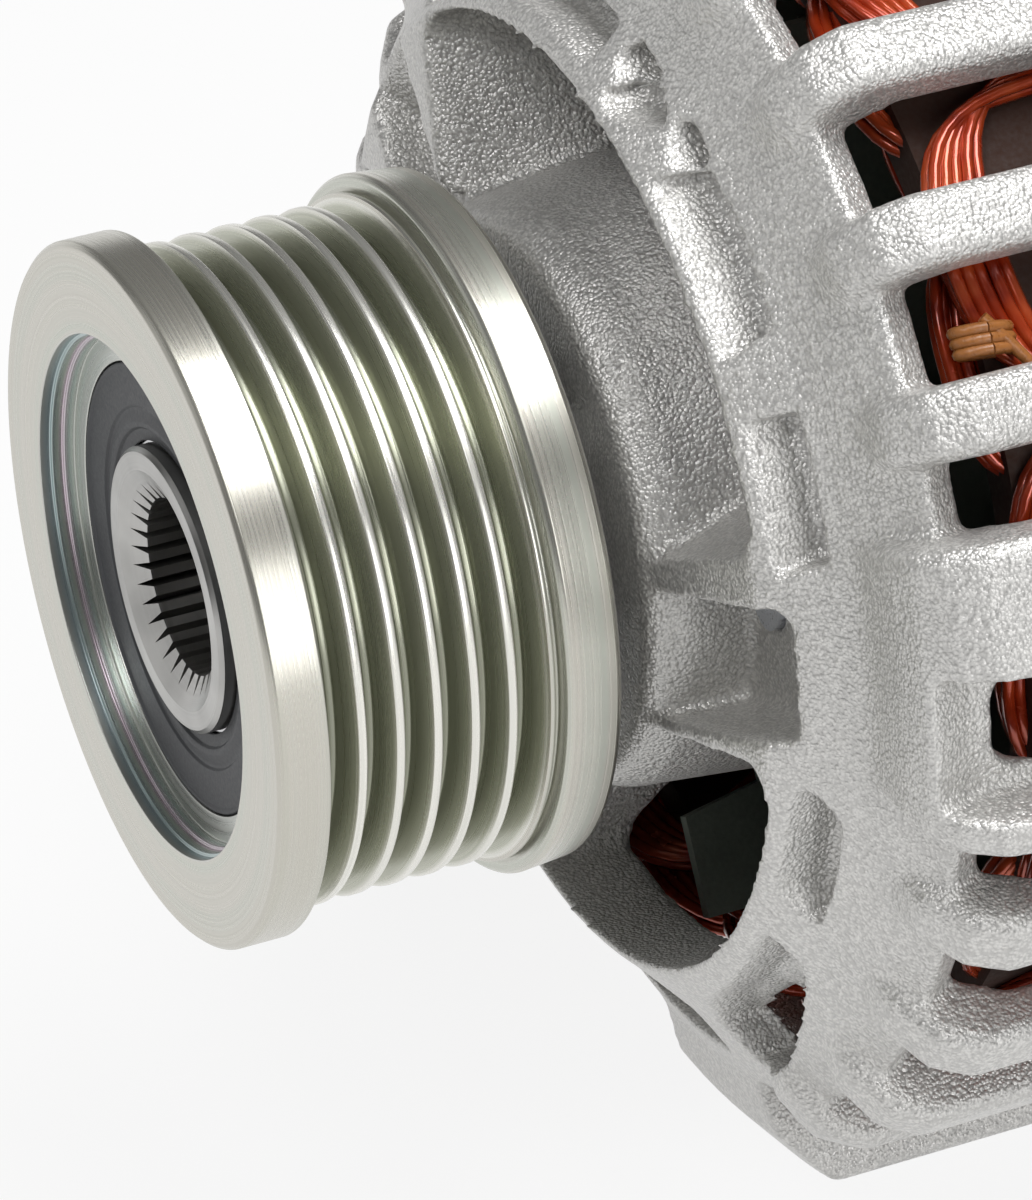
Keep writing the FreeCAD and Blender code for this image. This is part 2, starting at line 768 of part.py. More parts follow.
def stator_winding():
    half = slot_width / 2 - slot_liner
    inner = slot_inner_radius + slot_throat + wedge_thickness
    outer = slot_outer_radius - slot_liner
    bar = prism([(-half, inner), (half, inner), (half, outer), (-half, outer)],
                stator_front_y, stator_rear_y)
    return joined([overhang(stator_front_y, -1), overhang(stator_rear_y, 1)] + repeated(bar, slot_count))


def slot_wedges():
    half = slot_width / 2
    bottom = slot_inner_radius + slot_throat
    wedge = prism([(-half, bottom), (half, bottom), (half - slot_liner, bottom + wedge_thickness),
                   (-half + slot_liner, bottom + wedge_thickness)], stator_front_y, stator_rear_y)
    return Part.Compound(repeated(wedge, slot_count))


def lengthwise_edges(solid, low, high):
    # Edges that run through the depth of a cutting tool, between two values of y
    return [edge for edge in solid.Edges
            if edge.BoundBox.YMin < low and edge.BoundBox.YMax > high]


def profile_edges(solid, points):
    # The straight edges of a sector that lie along a run of its profile's points
    middles = [((r0 + r1) / 2, (y0 + y1) / 2) for (r0, y0), (r1, y1) in zip(points, points[1:])]
    chosen = []
    for edge in solid.Edges:
        centre = edge.CenterOfMass
        radius = math.hypot(centre.x, centre.z)
        if any(abs(radius - r) < match_gap and abs(centre.y - y) < match_gap for r, y in middles):
            chosen.append(edge)
    return chosen


def wedge(spans, inner, outer):
    # The room between two drafted end planes. Each span is (y, angles at inner, angles at outer)
    wires = []
    for y, inner_ends, outer_ends in spans:
        sides = []
        for first, second in zip(inner_ends, outer_ends):
            near = V(polar(inner, first)[0], y, polar(inner, first)[1])
            far = V(polar(outer, second)[0], y, polar(outer, second)[1])
            run = far - near
            sides.append((near - run * wedge_overrun, far + run))
        start, end = outer_ends
        beyond = [polar(2 * sides[0][1].Length, start + (end - start) * share / 3) for share in (1, 2)]
        corners = [sides[0][0], sides[0][1]] + [V(x, y, z) for x, z in beyond]
        corners += [sides[1][1], sides[1][0]]
        wires.append(Part.makePolygon(corners + corners[:1]))
    return outward(Part.makeLoft(wires, True, True))


def window_tool(front_ends, rear_ends):
    # One big front opening between the boss and the annulus, with drafted ends and rounded corners
    front = boss_front_y - 1
    rear = bearing_rear_y + 1
    band = revolved([(boss_front_radius, front), (boss_front_radius, boss_front_y),
                     (boss_tube_radius, boss_tube_y), (boss_root_radius, rear),
                     (window_outer_radius + window_draft, rear), (window_outer_radius, front)])
    room = wedge([(front, *front_ends), (rear, *rear_ends)], boss_tube_radius, window_outer_radius)
    opening = band.common(room)
    corners = [edge for edge in lengthwise_edges(opening, boss_tube_y + 1, rear - 1)
               if math.hypot(edge.CenterOfMass.x, edge.CenterOfMass.z) > boss_root_radius + 1]
    return opening.makeFillet(window_corner, corners)


def face_y(radius):
    # Where the sloping front face lies at a radius
    if radius < shoulder_radius:
        return annulus_y + (radius - window_outer_radius) * shoulder_drop / annulus_width
    return shoulder_y + (radius - shoulder_radius) * shell_drop / shell_width


def pocket_tools():
    # Pockets with rounded ends in the sloping face between the annulus and the shell
    top = boss_front_y - 1
    inner = window_outer_radius + pocket_inner_margin
    inner_floor = face_y(inner) + pocket_depth
    rows = [(annulus_pockets, shoulder_radius - pocket_outer_margin),
            (wide_pockets, shoulder_radius + wide_pocket_margin)]
    tools = []
    for pockets, reach in rows:
        outer_floor = face_y(reach) + pocket_outer_depth
        band = revolved([(inner, top), (reach, top), (reach, outer_floor), (inner, inner_floor)])
        for inner_ends, outer_ends in pockets:
            room = wedge([(top - 1, inner_ends, outer_ends), (bearing_rear_y, inner_ends, outer_ends)],
                         inner, reach)
            pocket = band.common(room)
            corners = lengthwise_edges(pocket, top + 1, min(inner_floor, outer_floor) - 1)
            tools.append(pocket.makeFillet(pocket_corner, corners))
    return tools


def bay_tool(direction, offset, floor_y):
    # A recess along a spoke, with a slanted wall towards the annulus
    top = boss_front_y - 1
    taper = (boss_root_wall - boss_tube_wall) / front_bearing_width
    root = boss_tube_radius + (floor_y - boss_tube_y) * taper
    band = revolved([(boss_front_radius, top), (boss_front_radius, boss_front_y),
                     (boss_tube_radius, boss_tube_y), (root, floor_y),
                     (bay_floor_radius, floor_y), (bay_outer_radius, annulus_y), (bay_outer_radius, top)])
    slot = block(offset - bay_half_width, offset + bay_half_width, top - 1, bearing_rear_y, 0,
                 shell_end_radius)
    return band.common(turned(slot, direction))


def shell_inner_corner():
    # The shell's inside at its outer edge, square to its slope
    slope = math.atan2(shell_drop, shell_width)
    return (shell_end_radius - shell_wall * math.sin(slope), shell_end_y + shell_wall * math.cos(slope))


def slat():
    # A rounded bar from the shell's nose over the shoulder to the rim, modelled at the top
    rear = rim_front_y + rim_chamfer
    nose = shell_end_radius - slat_nose_inset
    outline = [(nose, shell_end_y), (nose, shell_end_y - slat_nose_lift),
               (shell_end_radius - slat_top_inset / 2, shell_end_y - slat_front_lift),
               (bracket_radius - slat_top_inset, shell_end_y), (bracket_radius, slat_shoulder_y),
               (bracket_radius, rear)]
    inside = [(bracket_inner_radius, rear), (bracket_inner_radius, slat_shoulder_y + slat_rear_slope),
              shell_inner_corner()]
    bar = sector(outline + inside, -slat_half_angle, slat_half_angle)
    return bar.makeFillet(slat_round, profile_edges(bar, outline[1:]))


def seat_profile(outer_points):
    # Closes an outer profile over the stator seat and the inside of the shell
    return outer_points + [(stator_seat_radius, bracket_rear_y), (stator_seat_radius, stator_front_y),
                           (bracket_inner_radius, stator_front_y),
                           (bracket_inner_radius, slat_shoulder_y + slat_rear_slope), shell_inner_corner()]


def rounded_sector(points, start, end, radius):
    # A sector whose edges along its first and last points are rounded
    solid = sector(points, start, end)
    return solid.makeFillet(radius, profile_edges(solid, points[:2]) + profile_edges(solid, points[-2:]))


def lug_shoulder():
    # The large round between a lug's front face and its outer face
    front = shell_end_y - lug_nose_lift
    turns = [math.radians(90.0 * k / lug_shoulder_points) for k in range(lug_shoulder_points + 1)]
    return [(lug_radius - lug_shoulder_radius * (1 - math.sin(turn)),
             front + lug_shoulder_radius * (1 - math.cos(turn))) for turn in turns]


def bracket_lugs():
    # The two blocks that carry the front ears, with a recess and an oval hole in each
    nose = shell_end_radius - lug_nose_inset
    outline = [(nose, shell_end_y), (nose, shell_end_y - lug_nose_lift)] + lug_shoulder()
    outline.append((lug_radius, bracket_rear_y))
    profile = seat_profile(outline)
    floor = lug_radius - lug_recess_depth
    outside = lug_radius + 1
    rear = recess_front_y + recess_length
    recess = [(outside, recess_front_y), (floor + lug_recess_depth / 3, recess_front_y),
              (floor, recess_front_y + recess_wall_length), (floor, rear), (outside, rear)]
    hole_front = recess_front_y + recess_wall_length + recess_hole_start
    hole_rear = hole_front + recess_hole_length
    hole = [(bracket_inner_radius - bracket_wall, hole_front), (outside, hole_front),
            (outside, hole_rear), (bracket_inner_radius - bracket_wall, hole_rear)]
    blocks = []
    tools = []
    for start, end in lug_angles:
        middle = (start + end) / 2 + recess_offset
        lug = sector(profile, start, end)
        blocks.append(lug.makeFillet(lug_round, profile_edges(lug, outline[1:])))
        tools.append(rounded_sector(recess, middle - recess_half_angle, middle + recess_half_angle,
                                    recess_corner))
        opening = sector(hole, middle - recess_hole_half_angle, middle + recess_hole_half_angle)
        corners = profile_edges(opening, hole[:2]) + profile_edges(opening, hole[2:])
        tools.append(opening.makeFillet(recess_hole_corner, corners))
    return blocks, tools


def bracket_columns():
    # The thick columns round the other two through bolts
    profile = seat_profile([(shell_end_radius - column_nose_inset, shell_end_y - column_nose_slope),
                            (column_radius - column_edge, shell_end_y + column_nose_slope),
                            (column_radius, shell_end_y + column_edge), (column_radius, bracket_rear_y)])
    return [sector(profile, angle - column_half_angle, angle + column_half_angle)
            for angle in column_angles]


def drive_bracket():
    inner_corner = shell_inner_corner()
    wall_inset = shell_end_radius - inner_corner[0]
    dome = revolved([
        (boss_lip_radius, boss_front_y), (boss_front_radius - boss_chamfer, boss_front_y),
        (boss_front_radius, boss_front_y + boss_chamfer), (window_outer_radius, annulus_y),
        (shoulder_radius, shoulder_y), (shell_end_radius, shell_end_y), inner_corner,
        (shoulder_radius - wall_inset, annulus_rear_y), (window_outer_radius + window_draft, annulus_rear_y),
        (retainer_screw_circle + retainer_lobe_radius, bearing_rear_y),
        (front_bearing_outer, bearing_rear_y), (front_bearing_outer, bearing_front_y),
        (boss_lip_radius, bearing_front_y)])
    rim = revolved([(bracket_inner_radius, rim_front_y), (bracket_radius, rim_front_y),
                    (rim_radius, rim_front_y + rim_chamfer), (rim_radius, bracket_rear_y),
                    (stator_seat_radius, bracket_rear_y), (stator_seat_radius, stator_front_y),
                    (bracket_inner_radius, stator_front_y)])
    bar = slat()
    slats = [turned(bar, angle) for angle in slat_angles]
    lugs, lug_tools = bracket_lugs()
    bosses = [rod(bolt_boss_radius, rim_front_y, bracket_rear_y, bolt_circle, angle)
              for angle in bolt_angles]
    body = joined([dome, rim] + slats + lugs + bracket_columns() + bosses)
    tools = [window_tool(front_ends, rear_ends)
             for front_ends, rear_ends in zip(window_front_ends, window_rear_ends)]
    tools += [bay_tool(direction, offset, floor_y) for direction, offset, floor_y in bays]
    tools += [rod(retainer_screw_radius, screw_tip_y, bearing_rear_y + 1, retainer_screw_circle, angle)
              for angle in retainer_screw_angles]
    tools += pocket_tools() + lug_tools
    thread_front = bracket_rear_y - bolt_thread_length
    tools += [rod(bolt_radius, thread_front, bracket_rear_y + 1, bolt_circle, angle)
              for angle in bolt_angles]
    tools.append(disc(stator_seat_radius, stator_front_y, bracket_rear_y + 1))
    tools.append(disc(bracket_inner_radius, rim_front_y, stator_front_y + 1))
    return body.cut(tools).removeSplitter()


def seat_face_and_rim(bracket):
    # The front casting in three simple pieces that meet at its windows' outer edge and behind its face
    core = disc(window_outer_radius, 0, stator_front_y)
    front = disc(rim_radius + bolt_boss_radius, 0, face_rear_y)
    around = bracket.cut(core)
    return bracket.common(core), around.common(front), around.cut(front)


def ear(front, rear, hole_radius=ear_bolt_radius):
    # A mounting ear that reaches outwards from the rim, modelled at the top
    arm = prism([(-ear_root_half_width, stator_seat_radius), (ear_root_half_width, stator_seat_radius),
                 (ear_eye_radius, ear_radius), (-ear_eye_radius, ear_radius)], front, rear)
    eye = rod(ear_eye_radius, front, rear, ear_radius, 0)
    return joined([arm, eye]).cut(rod(hole_radius, front - 1, rear + 1, ear_radius, 0))


def fitted_ear(plain, angle, bracket):
    # An ear without what lies in the bracket or fills the bolt hole under its root
    return max(turned(plain, angle).cut(bracket).Solids, key=lambda solid: solid.Volume)


def drive_ears(bracket):
    # The front ears, shaped to the rim of their casting
    plain = ear(bracket_rear_y - ear_thickness, bracket_rear_y)
    return Part.Compound([fitted_ear(plain, angle, bracket) for angle in ear_angles])


def slip_ring_ear(bracket):
    # The rear ear, bored for its bush
    plain = ear(rear_rim_front_y, rear_rim_front_y + rear_ear_thickness, bush_radius)
    return fitted_ear(plain, ear_angles[1], bracket)


def bearing_retainer():
    front = bearing_rear_y
    rear = front + retainer_thickness
    web = prism([polar(retainer_screw_circle, angle) for angle in retainer_screw_angles], front, rear)
    lobes = [rod(retainer_lobe_radius, front, rear, retainer_screw_circle, angle)
             for angle in retainer_screw_angles]
    plate = joined([disc(front_bearing_outer, front, rear), web] + lobes)
    holes = [rod(retainer_screw_radius, front - 1, rear + 1, retainer_screw_circle, angle)
             for angle in retainer_screw_angles]
    return plate.cut([disc(retainer_bore_radius, front - 1, rear + 1)] + holes).removeSplitter()


def retainer_screws():
    seat = bearing_rear_y + retainer_thickness
    head_rear = seat + retainer_head_height
    screws = []
    for angle in retainer_screw_angles:
        shank = rod(retainer_screw_radius, screw_tip_y, seat, retainer_screw_circle, angle)
        head = rod(retainer_head_radius, seat, head_rear, retainer_screw_circle, angle)
        drive = hexagon(retainer_drive_radius, head_rear - retainer_drive_depth, head_rear + 1,
                        retainer_screw_circle, angle)
        screws.append(joined([shank, head]).cut(drive))
    return screws


def slip_ring_bracket():
    # Rear casting: rim on the stator, slats round the winding, flat back with the bearing hub
    inner_back_y = rear_back_y - rear_wall
    hub_front_y = rear_back_y - rear_hub_length
    hub_bore = rear_sleeve_radius + seat_gap
    back = revolved([(hub_bore, rear_back_y), (cover_radius, rear_back_y),
                     (bracket_radius, rear_shoulder_y), (bracket_radius - rear_wall, rear_shoulder_y),
                     (cover_radius - rear_wall, inner_back_y), (rear_hub_radius, inner_back_y),
                     (rear_hub_radius, hub_front_y), (hub_bore, hub_front_y)])
    rim = revolved([(stator_seat_radius, rear_rim_front_y), (rim_radius, rear_rim_front_y),
                    (rim_radius, rear_rim_rear_y - rim_chamfer), (bracket_radius, rear_rim_rear_y),
                    (bracket_inner_radius, rear_rim_rear_y), (bracket_inner_radius, stator_rear_y),
                    (stator_seat_radius, stator_rear_y)])
    bar = sector([(bracket_inner_radius, rear_rim_rear_y - 1), (bracket_radius, rear_rim_rear_y - 1),
                  (bracket_radius, rear_shoulder_y), (bracket_inner_radius, rear_shoulder_y)],
                 -rear_slat_half_angle, rear_slat_half_angle)
    slats = repeated(bar, rear_slat_count, bolt_angles[0] + 180.0 / rear_slat_count)
    bosses = [rod(bolt_boss_radius, rear_rim_front_y, bolt_seat_y, bolt_circle, angle)
              for angle in bolt_angles]
    body = joined([back, rim] + slats + bosses)
    tools = [disc(stator_seat_radius, rear_rim_front_y - 1, stator_rear_y),
             disc(bracket_inner_radius, stator_rear_y - 1, bolt_seat_y + 2)]
    window = sector([(rear_window_inner_radius, inner_back_y - 1),
                     (rear_window_outer_radius, inner_back_y - 1),
                     (rear_window_outer_radius, rear_back_y + 1),
                     (rear_window_inner_radius, rear_back_y + 1)],
                    -rear_window_half_angle, rear_window_half_angle)
    tools += repeated(window, rear_window_count, 180.0 / rear_window_count)
    tools += [rod(bolt_radius, rear_rim_front_y - 1, bolt_seat_y + 1, bolt_circle, angle)
              for angle in bolt_angles]
    tools += [rod(cover_stud_radius, inner_back_y - 1, rear_back_y + 1, cover_post_circle, angle)
              for angle in cover_post_angles]
    return body.cut(tools).removeSplitter()


def through_bolts():
    bolts = []
    head_rear = bolt_seat_y + bolt_head_height
    for angle in bolt_angles:
        shank = rod(bolt_radius, bracket_rear_y - bolt_thread_length, bolt_seat_y, bolt_circle, angle)
        head = rod(bolt_head_radius, bolt_seat_y, head_rear, bolt_circle, angle)
        drive = hexagon(bolt_drive_radius, head_rear - bolt_drive_depth, head_rear + 1, bolt_circle, angle)
        bolts.append(joined([shank, head]).cut(drive))
    return Part.Compound(bolts)


def ear_bush():
    middle = rear_rim_front_y + rear_ear_thickness / 2
    front = middle - bush_length / 2
    rear = middle + bush_length / 2
    bush = rod(bush_radius - seat_gap, front, rear, ear_radius, ear_angles[1])
    return bush.cut(rod(ear_bolt_radius, front - 1, rear + 1, ear_radius, ear_angles[1]))


def slip_rings():
    bore = slip_ring_radius - slip_ring_wall
    tube = bore - seat_gap
    collar = slip_ring_radius - slip_collar_step
    starts = [first_slip_ring_y, first_slip_ring_y + slip_ring_spacing]
    rings = [ring(bore, slip_ring_radius, start, start + slip_ring_width) for start in starts]
    first_collar = ring(slip_seat_radius + seat_gap, collar, starts[0] - slip_carrier_margin, starts[0])
    middle_collar = ring(slip_seat_radius + seat_gap, collar, starts[0] + slip_ring_width, starts[1])
    last_collar = ring(slip_seat_radius + seat_gap, collar, starts[1] + slip_ring_width, slip_end_y)
    carrier = ring(slip_seat_radius + seat_gap, tube, rear_bearing_rear_y, slip_end_y)
    return Part.Compound(rings), joined([carrier, first_collar, middle_collar, last_collar])


def heat_plate(front, rear, holes):
    plate = sector([(plate_inner_radius, front), (plate_outer_radius, front), (plate_outer_radius, rear),
                    (plate_inner_radius, rear)], rectifier_start, rectifier_end)
    return plate.cut([rod(radius, front - 1, rear + 1, diode_circle, angle) for radius, angle in holes])


def diode(front, height, angle):
    # Pressed diode: its cup, a smaller step and the lead wire
    rear = front + height
    step = rear + diode_step
    return joined([rod(diode_radius, front, rear, diode_circle, angle),
                   rod(diode_radius - diode_step, rear, step, diode_circle, angle),
                   rod(diode_lead_radius, step, step + diode_lead_length, diode_circle, angle)])


def rectifier():
    # Every other diode sits in the negative plate, the others in the positive one behind it
    negative_angles = diode_angles[0::2]
    positive_angles = diode_angles[1::2]
    passage = diode_radius - diode_step + diode_hole_margin
    negative = heat_plate(rear_back_y, negative_rear_y,
                          [(diode_radius, angle) for angle in negative_angles])
    positive = heat_plate(positive_front_y, positive_rear_y,
                          [(diode_radius, angle) for angle in positive_angles]
                          + [(passage, angle) for angle in negative_angles])
    positive = positive.cut(rod(stud_core_radius + seat_gap, positive_front_y - 1, positive_rear_y + 1,
                                stud_circle, stud_angle))
    diodes = [diode(rear_back_y, diode_height, angle) for angle in negative_angles]
    diodes += [diode(positive_front_y, positive_plate_thickness, angle) for angle in positive_angles]
    seat = plate_outer_radius + seat_gap
    outside = plate_outer_radius + carrier_thickness
    web_inner = plate_outer_radius - carrier_web_depth
    rail = sector([(seat, rear_back_y), (outside, rear_back_y), (outside, positive_rear_y),
                   (seat, positive_rear_y)], rectifier_start, rectifier_end)
    web = sector([(web_inner, negative_rear_y), (seat, negative_rear_y), (seat, positive_front_y),
                  (web_inner, positive_front_y)], -carrier_web_half_angle, carrier_web_half_angle)
    places = diode_angles[0:2], diode_angles[3:5], (diode_angles[-1], stud_angle)
    webs = [turned(web, (first + second) / 2) for first, second in places]
    return negative, positive, Part.Compound(diodes), joined([rail] + webs)


def brush_channel_centres():
    first = first_slip_ring_y + slip_ring_width / 2
    return [first, first + slip_ring_spacing]


def brush(middle):
    # Carbon block, hollowed to the slip ring that it runs on
    front = middle - brush_thickness / 2
    rear = middle + brush_thickness / 2
    shape = block(-brush_width / 2, brush_width / 2, front, rear, brush_bottom_z, brush_top_z)
    return shape.cut(disc(slip_ring_radius + brush_seat_gap, front - 1, rear + 1))


def brush_spring(middle):
    height = spring_length - 2 * spring_wire_radius
    helix = Part.makeHelix(height / spring_turns, height, spring_radius)
    corners = [V(spring_radius + spring_wire_radius * math.cos(math.radians(90 * k)), 0,
                 spring_wire_radius * math.sin(math.radians(90 * k))) for k in range(5)]
    spring = Part.Wire(helix).makePipeShell([Part.makePolygon(corners)], True, True)
    spring.translate(V(0, middle, brush_top_z + spring_wire_radius))
    return outward(spring)


def brush_holder():
    # Two guide channels side by side, closed above, with a neck up to the regulator
    bottom = slip_ring_radius + holder_lift
    centres = brush_channel_centres()
    half_width = brush_width / 2 + holder_clearance
    half_depth = brush_thickness / 2 + holder_clearance
    half_x = half_width + holder_wall
    front = centres[0] - half_depth - holder_wall
    rear = centres[1] + half_depth + holder_wall
    body = block(-half_x, half_x, front, rear, bottom, holder_top_z)
    neck = block(-half_x, half_x, first_slip_ring_y, regulator_rear_y, holder_top_z - holder_wall,
                 regulator_bottom_z)
    channels = [block(-half_width, half_width, middle - half_depth, middle + half_depth, bottom - 1,
                      spring_top_z) for middle in centres]
    return joined([body, neck]).cut(channels)


def regulator():
    # Control box on the bracket's back, with the plug socket standing up through the cover
    half = regulator_width / 2
    case = block(-half, half, rear_back_y, regulator_rear_y, regulator_bottom_z, regulator_top_z)
    left = socket_x - socket_width / 2
    right = socket_x + socket_width / 2
    socket_rear = rear_back_y + socket_depth
    socket = block(left, right, rear_back_y, socket_rear, regulator_bottom_z, socket_top_z)
    cavity = block(left + socket_wall, right - socket_wall, rear_back_y + socket_wall,
                   socket_rear - socket_wall, socket_floor_z, socket_top_z + 1)
    body = joined([case, socket]).cut(cavity)
    middle = rear_back_y + socket_depth / 2
    pins = []
    for index in range(pin_count):
        x = socket_x + (index - (pin_count - 1) / 2) * pin_pitch
        pins.append(block(x - pin_width / 2, x + pin_width / 2, middle - pin_thickness / 2,
                          middle + pin_thickness / 2, socket_floor_z, socket_top_z - pin_inset))
    return body, Part.Compound(pins)


def heat_sink():
    left = -regulator_width / 2 + sink_margin
    right = min(left + sink_width, socket_x - socket_width / 2 - free_gap)
    bottom = regulator_bottom_z + sink_margin
    top = regulator_top_z - sink_margin
    base_rear = regulator_rear_y + sink_thickness
    pitch = (right - left - sink_rib_width) / (sink_rib_count - 1)
    ribs = [block(left + k * pitch, left + k * pitch + sink_rib_width, base_rear, base_rear + sink_rib_height,
                  bottom, top) for k in range(sink_rib_count)]
    return joined([block(left, right, regulator_rear_y, base_rear, bottom, top)] + ribs)


def rear_cover():
    # Moulded cap with a rounded edge, air slots, posts for its nuts and openings for the plug and the stud
    front = rear_back_y
    inner = cover_radius - cover_wall
    inner_round = cover_round - cover_wall / 2
    inner_rear = cover_rear_y - cover_wall
    shell = revolved([(cover_radius, front), (cover_radius, cover_rear_y - cover_round),
                      (cover_radius - 0.3 * cover_round, cover_rear_y - 0.3 * cover_round),
                      (cover_radius - cover_round, cover_rear_y), (0, cover_rear_y), (0, inner_rear),
                      (inner - inner_round, inner_rear), (inner, inner_rear - inner_round), (inner, front)])
    posts = [rod(cover_post_radius, front, inner_rear + cover_wall / 2, cover_post_circle, angle)
             for angle in cover_post_angles]
    body = joined([shell] + posts)
    seats = [rod(cover_nut_radius + cover_seat_margin, cover_seat_y, cover_rear_y + 1,
                 cover_post_circle, angle) for angle in cover_post_angles]
    holes = [rod(cover_stud_radius, front - 1, cover_rear_y, cover_post_circle, angle)
             for angle in cover_post_angles]
    vent = sector([(vent_inner_radius, inner_rear - 1), (vent_outer_radius, inner_rear - 1),
                   (vent_outer_radius, cover_rear_y + 1), (vent_inner_radius, cover_rear_y + 1)],
                  -vent_half_angle, vent_half_angle)
    stud_reach = vent_half_angle + math.degrees(math.asin((stud_insulator_radius + vent_wall) / stud_circle))
    vent_angles = [vent_first_angle + k * vent_span / (vent_count - 1) for k in range(vent_count)]
    vents = [turned(vent, angle) for angle in vent_angles if abs(angle - stud_angle) > stud_reach]
    half_notch = socket_width / 2 + free_gap
    notch = block(socket_x - half_notch, socket_x + half_notch, front - 1, front + socket_depth + free_gap,
                  regulator_bottom_z, cover_radius + 1)
    stud_hole = rod(stud_insulator_radius + stud_insulator_gap, inner_rear - 1, cover_rear_y + 1,
                    stud_circle, stud_angle)
    return body.cut(seats + holes + vents + [notch, stud_hole]).removeSplitter()


def cover_studs():
    studs = []
    nuts = []
    nut_rear = cover_seat_y + cover_nut_height
    for angle in cover_post_angles:
        studs.append(rod(cover_stud_radius, rear_back_y - rear_wall, nut_rear + cover_stud_end,
                         cover_post_circle, angle))
        nut = hexagon(cover_nut_radius, cover_seat_y, nut_rear, cover_post_circle, angle)
        nuts.append(nut.cut(rod(cover_stud_radius, cover_seat_y - 1, nut_rear + 1, cover_post_circle, angle)))
    return Part.Compound(studs), Part.Compound(nuts)


def output_terminal():
    # Terminal stud with its head under the positive plate, the sleeve round it and its nut
    head_front = positive_front_y - stud_head_thickness
    nut_rear = stud_seat_y + stud_nut_height
    stud = joined([rod(stud_core_radius, head_front, nut_rear, stud_circle, stud_angle),
                   rod(stud_radius, nut_rear, stud_end_y, stud_circle, stud_angle),
                   rod(stud_head_radius, head_front, positive_front_y, stud_circle, stud_angle)])
    insulator = rod(stud_insulator_radius, positive_rear_y, stud_seat_y, stud_circle, stud_angle)
    nut = hexagon(stud_nut_radius, stud_seat_y, nut_rear, stud_circle, stud_angle)
    hole = rod(stud_core_radius + seat_gap, positive_front_y, nut_rear, stud_circle, stud_angle)
    return stud, insulator.cut(hole), nut.cut(hole)


def pulley_bearings():
    sets = [bearing(hub_radius, pulley_bore_radius, front, pulley_bearing_width, pulley_ball_radius,
                    pulley_ball_count) for front in (front_race_y, rear_race_y)]
    return [Part.Compound([one_set[index] for one_set in sets]) for index in range(4)]


def pulley_seal(front):
    return ring(pulley_seal_bore, pulley_bore_radius - seat_gap, front, front + pulley_seal_thickness)


def sealed_bearing(prefix, bore, outer, front, width, ball_radius, ball_count):
    inner, outer_race, balls, cage = bearing(bore, outer, front, width, ball_radius, ball_count)
    save(prefix + "_inner_race", inner)
    save(prefix + "_outer_race", outer_race)
    save(prefix + "_balls", balls)
    save(prefix + "_cage", cage)
    pitch = (bore + outer) / 2
    shoulder = race_shoulder_share * ball_radius
    seal_inner = pitch - shoulder + free_gap
    seal_outer = pitch + shoulder - seat_gap
    first = front + bearing_seal_inset
    last = front + width - bearing_seal_inset - bearing_seal_thickness
    save(prefix + "_seals", Part.Compound([ring(seal_inner, seal_outer, y, y + bearing_seal_thickness)
                                           for y in (first, last)]))


def build_pulley():
    save("pulley_ring", pulley_ring())
    save("pulley_hub", pulley_hub())
    inner, outer, balls, cages = pulley_bearings()
    save("pulley_inner_races", inner)
    save("pulley_outer_races", outer)
    save("pulley_balls", balls)
    save("pulley_ball_cages", cages)
    sleeve, ramp, rollers, cage = clutch()
    save("clutch_sleeve", sleeve)
    save("clutch_ramp", ramp)
    save("clutch_rollers", rollers)
    save("clutch_cage", cage)
    save("pulley_seals", Part.Compound([
        pulley_seal(recess_depth), pulley_seal(pulley_width - recess_depth - pulley_seal_thickness)]))


def build_rotor():
    save("rotor_shaft", rotor_shaft())
    front_pole = claw_pole()
    save("claw_poles", Part.Compound([front_pole, turned_round(front_pole)]))
    bobbin, coil = field_winding()
    save("field_bobbin", bobbin)
    save("field_coil", coil)
    front_fan = fan()
    save("cooling_fans", Part.Compound([front_fan, turned_round(front_fan)]))
    rings, carrier = slip_rings()
    save("slip_rings", rings)
    save("slip_ring_carrier", carrier)


def build_stator():
    save("stator_core", stator_core())
    save("stator_winding", stator_winding())
    save("slot_wedges", slot_wedges())


def build_housing():
    front_bracket = drive_bracket()
    rear_bracket = slip_ring_bracket()
    bearing_seat, face, rim = seat_face_and_rim(front_bracket)
    save("drive_end_bearing_seat", bearing_seat)
    save("drive_end_face", face)
    save("drive_end_bracket", rim)
    save("drive_end_ears", drive_ears(front_bracket))
    save("bearing_retainer", bearing_retainer())
    save("retainer_screws", Part.Compound(retainer_screws()))
    save("slip_ring_end_bracket", rear_bracket)
    save("slip_ring_end_ear", slip_ring_ear(rear_bracket))
    save("through_bolts", through_bolts())
    save("rear_ear_bush", ear_bush())
    sealed_bearing("front_bearing", shaft_radius, front_bearing_outer, bearing_front_y,
                   front_bearing_width, front_ball_radius, front_ball_count)
    sealed_bearing("rear_bearing", rear_journal_radius, rear_bearing_outer, rear_bearing_front_y,
                   rear_bearing_width, rear_ball_radius, rear_ball_count)
    save("rear_bearing_sleeve", ring(rear_bearing_outer, rear_sleeve_radius, rear_bearing_front_y,
                                     rear_bearing_rear_y))


def build_rear():
    negative, positive, diodes, carrier = rectifier()
    save("rectifier_negative_plate", negative)
    save("rectifier_positive_plate", positive)
    save("rectifier_diodes", diodes)
    save("rectifier_carrier", carrier)
    body, pins = regulator()
    save("regulator_body", body)
    save("connector_pins", pins)
    save("brush_holder", brush_holder())
    save("regulator_heat_sink", heat_sink())
    for name, middle in zip(("front", "rear"), brush_channel_centres()):
        save("brush_" + name, brush(middle))
        save("brush_spring_" + name, brush_spring(middle))
    save("rear_cover", rear_cover())
    studs, nuts = cover_studs()
    save("cover_studs", studs)
    save("cover_nuts", nuts)
    stud, insulator, nut = output_terminal()
    save("output_stud", stud)
    save("output_stud_insulator", insulator)
    save("output_stud_nut", nut)


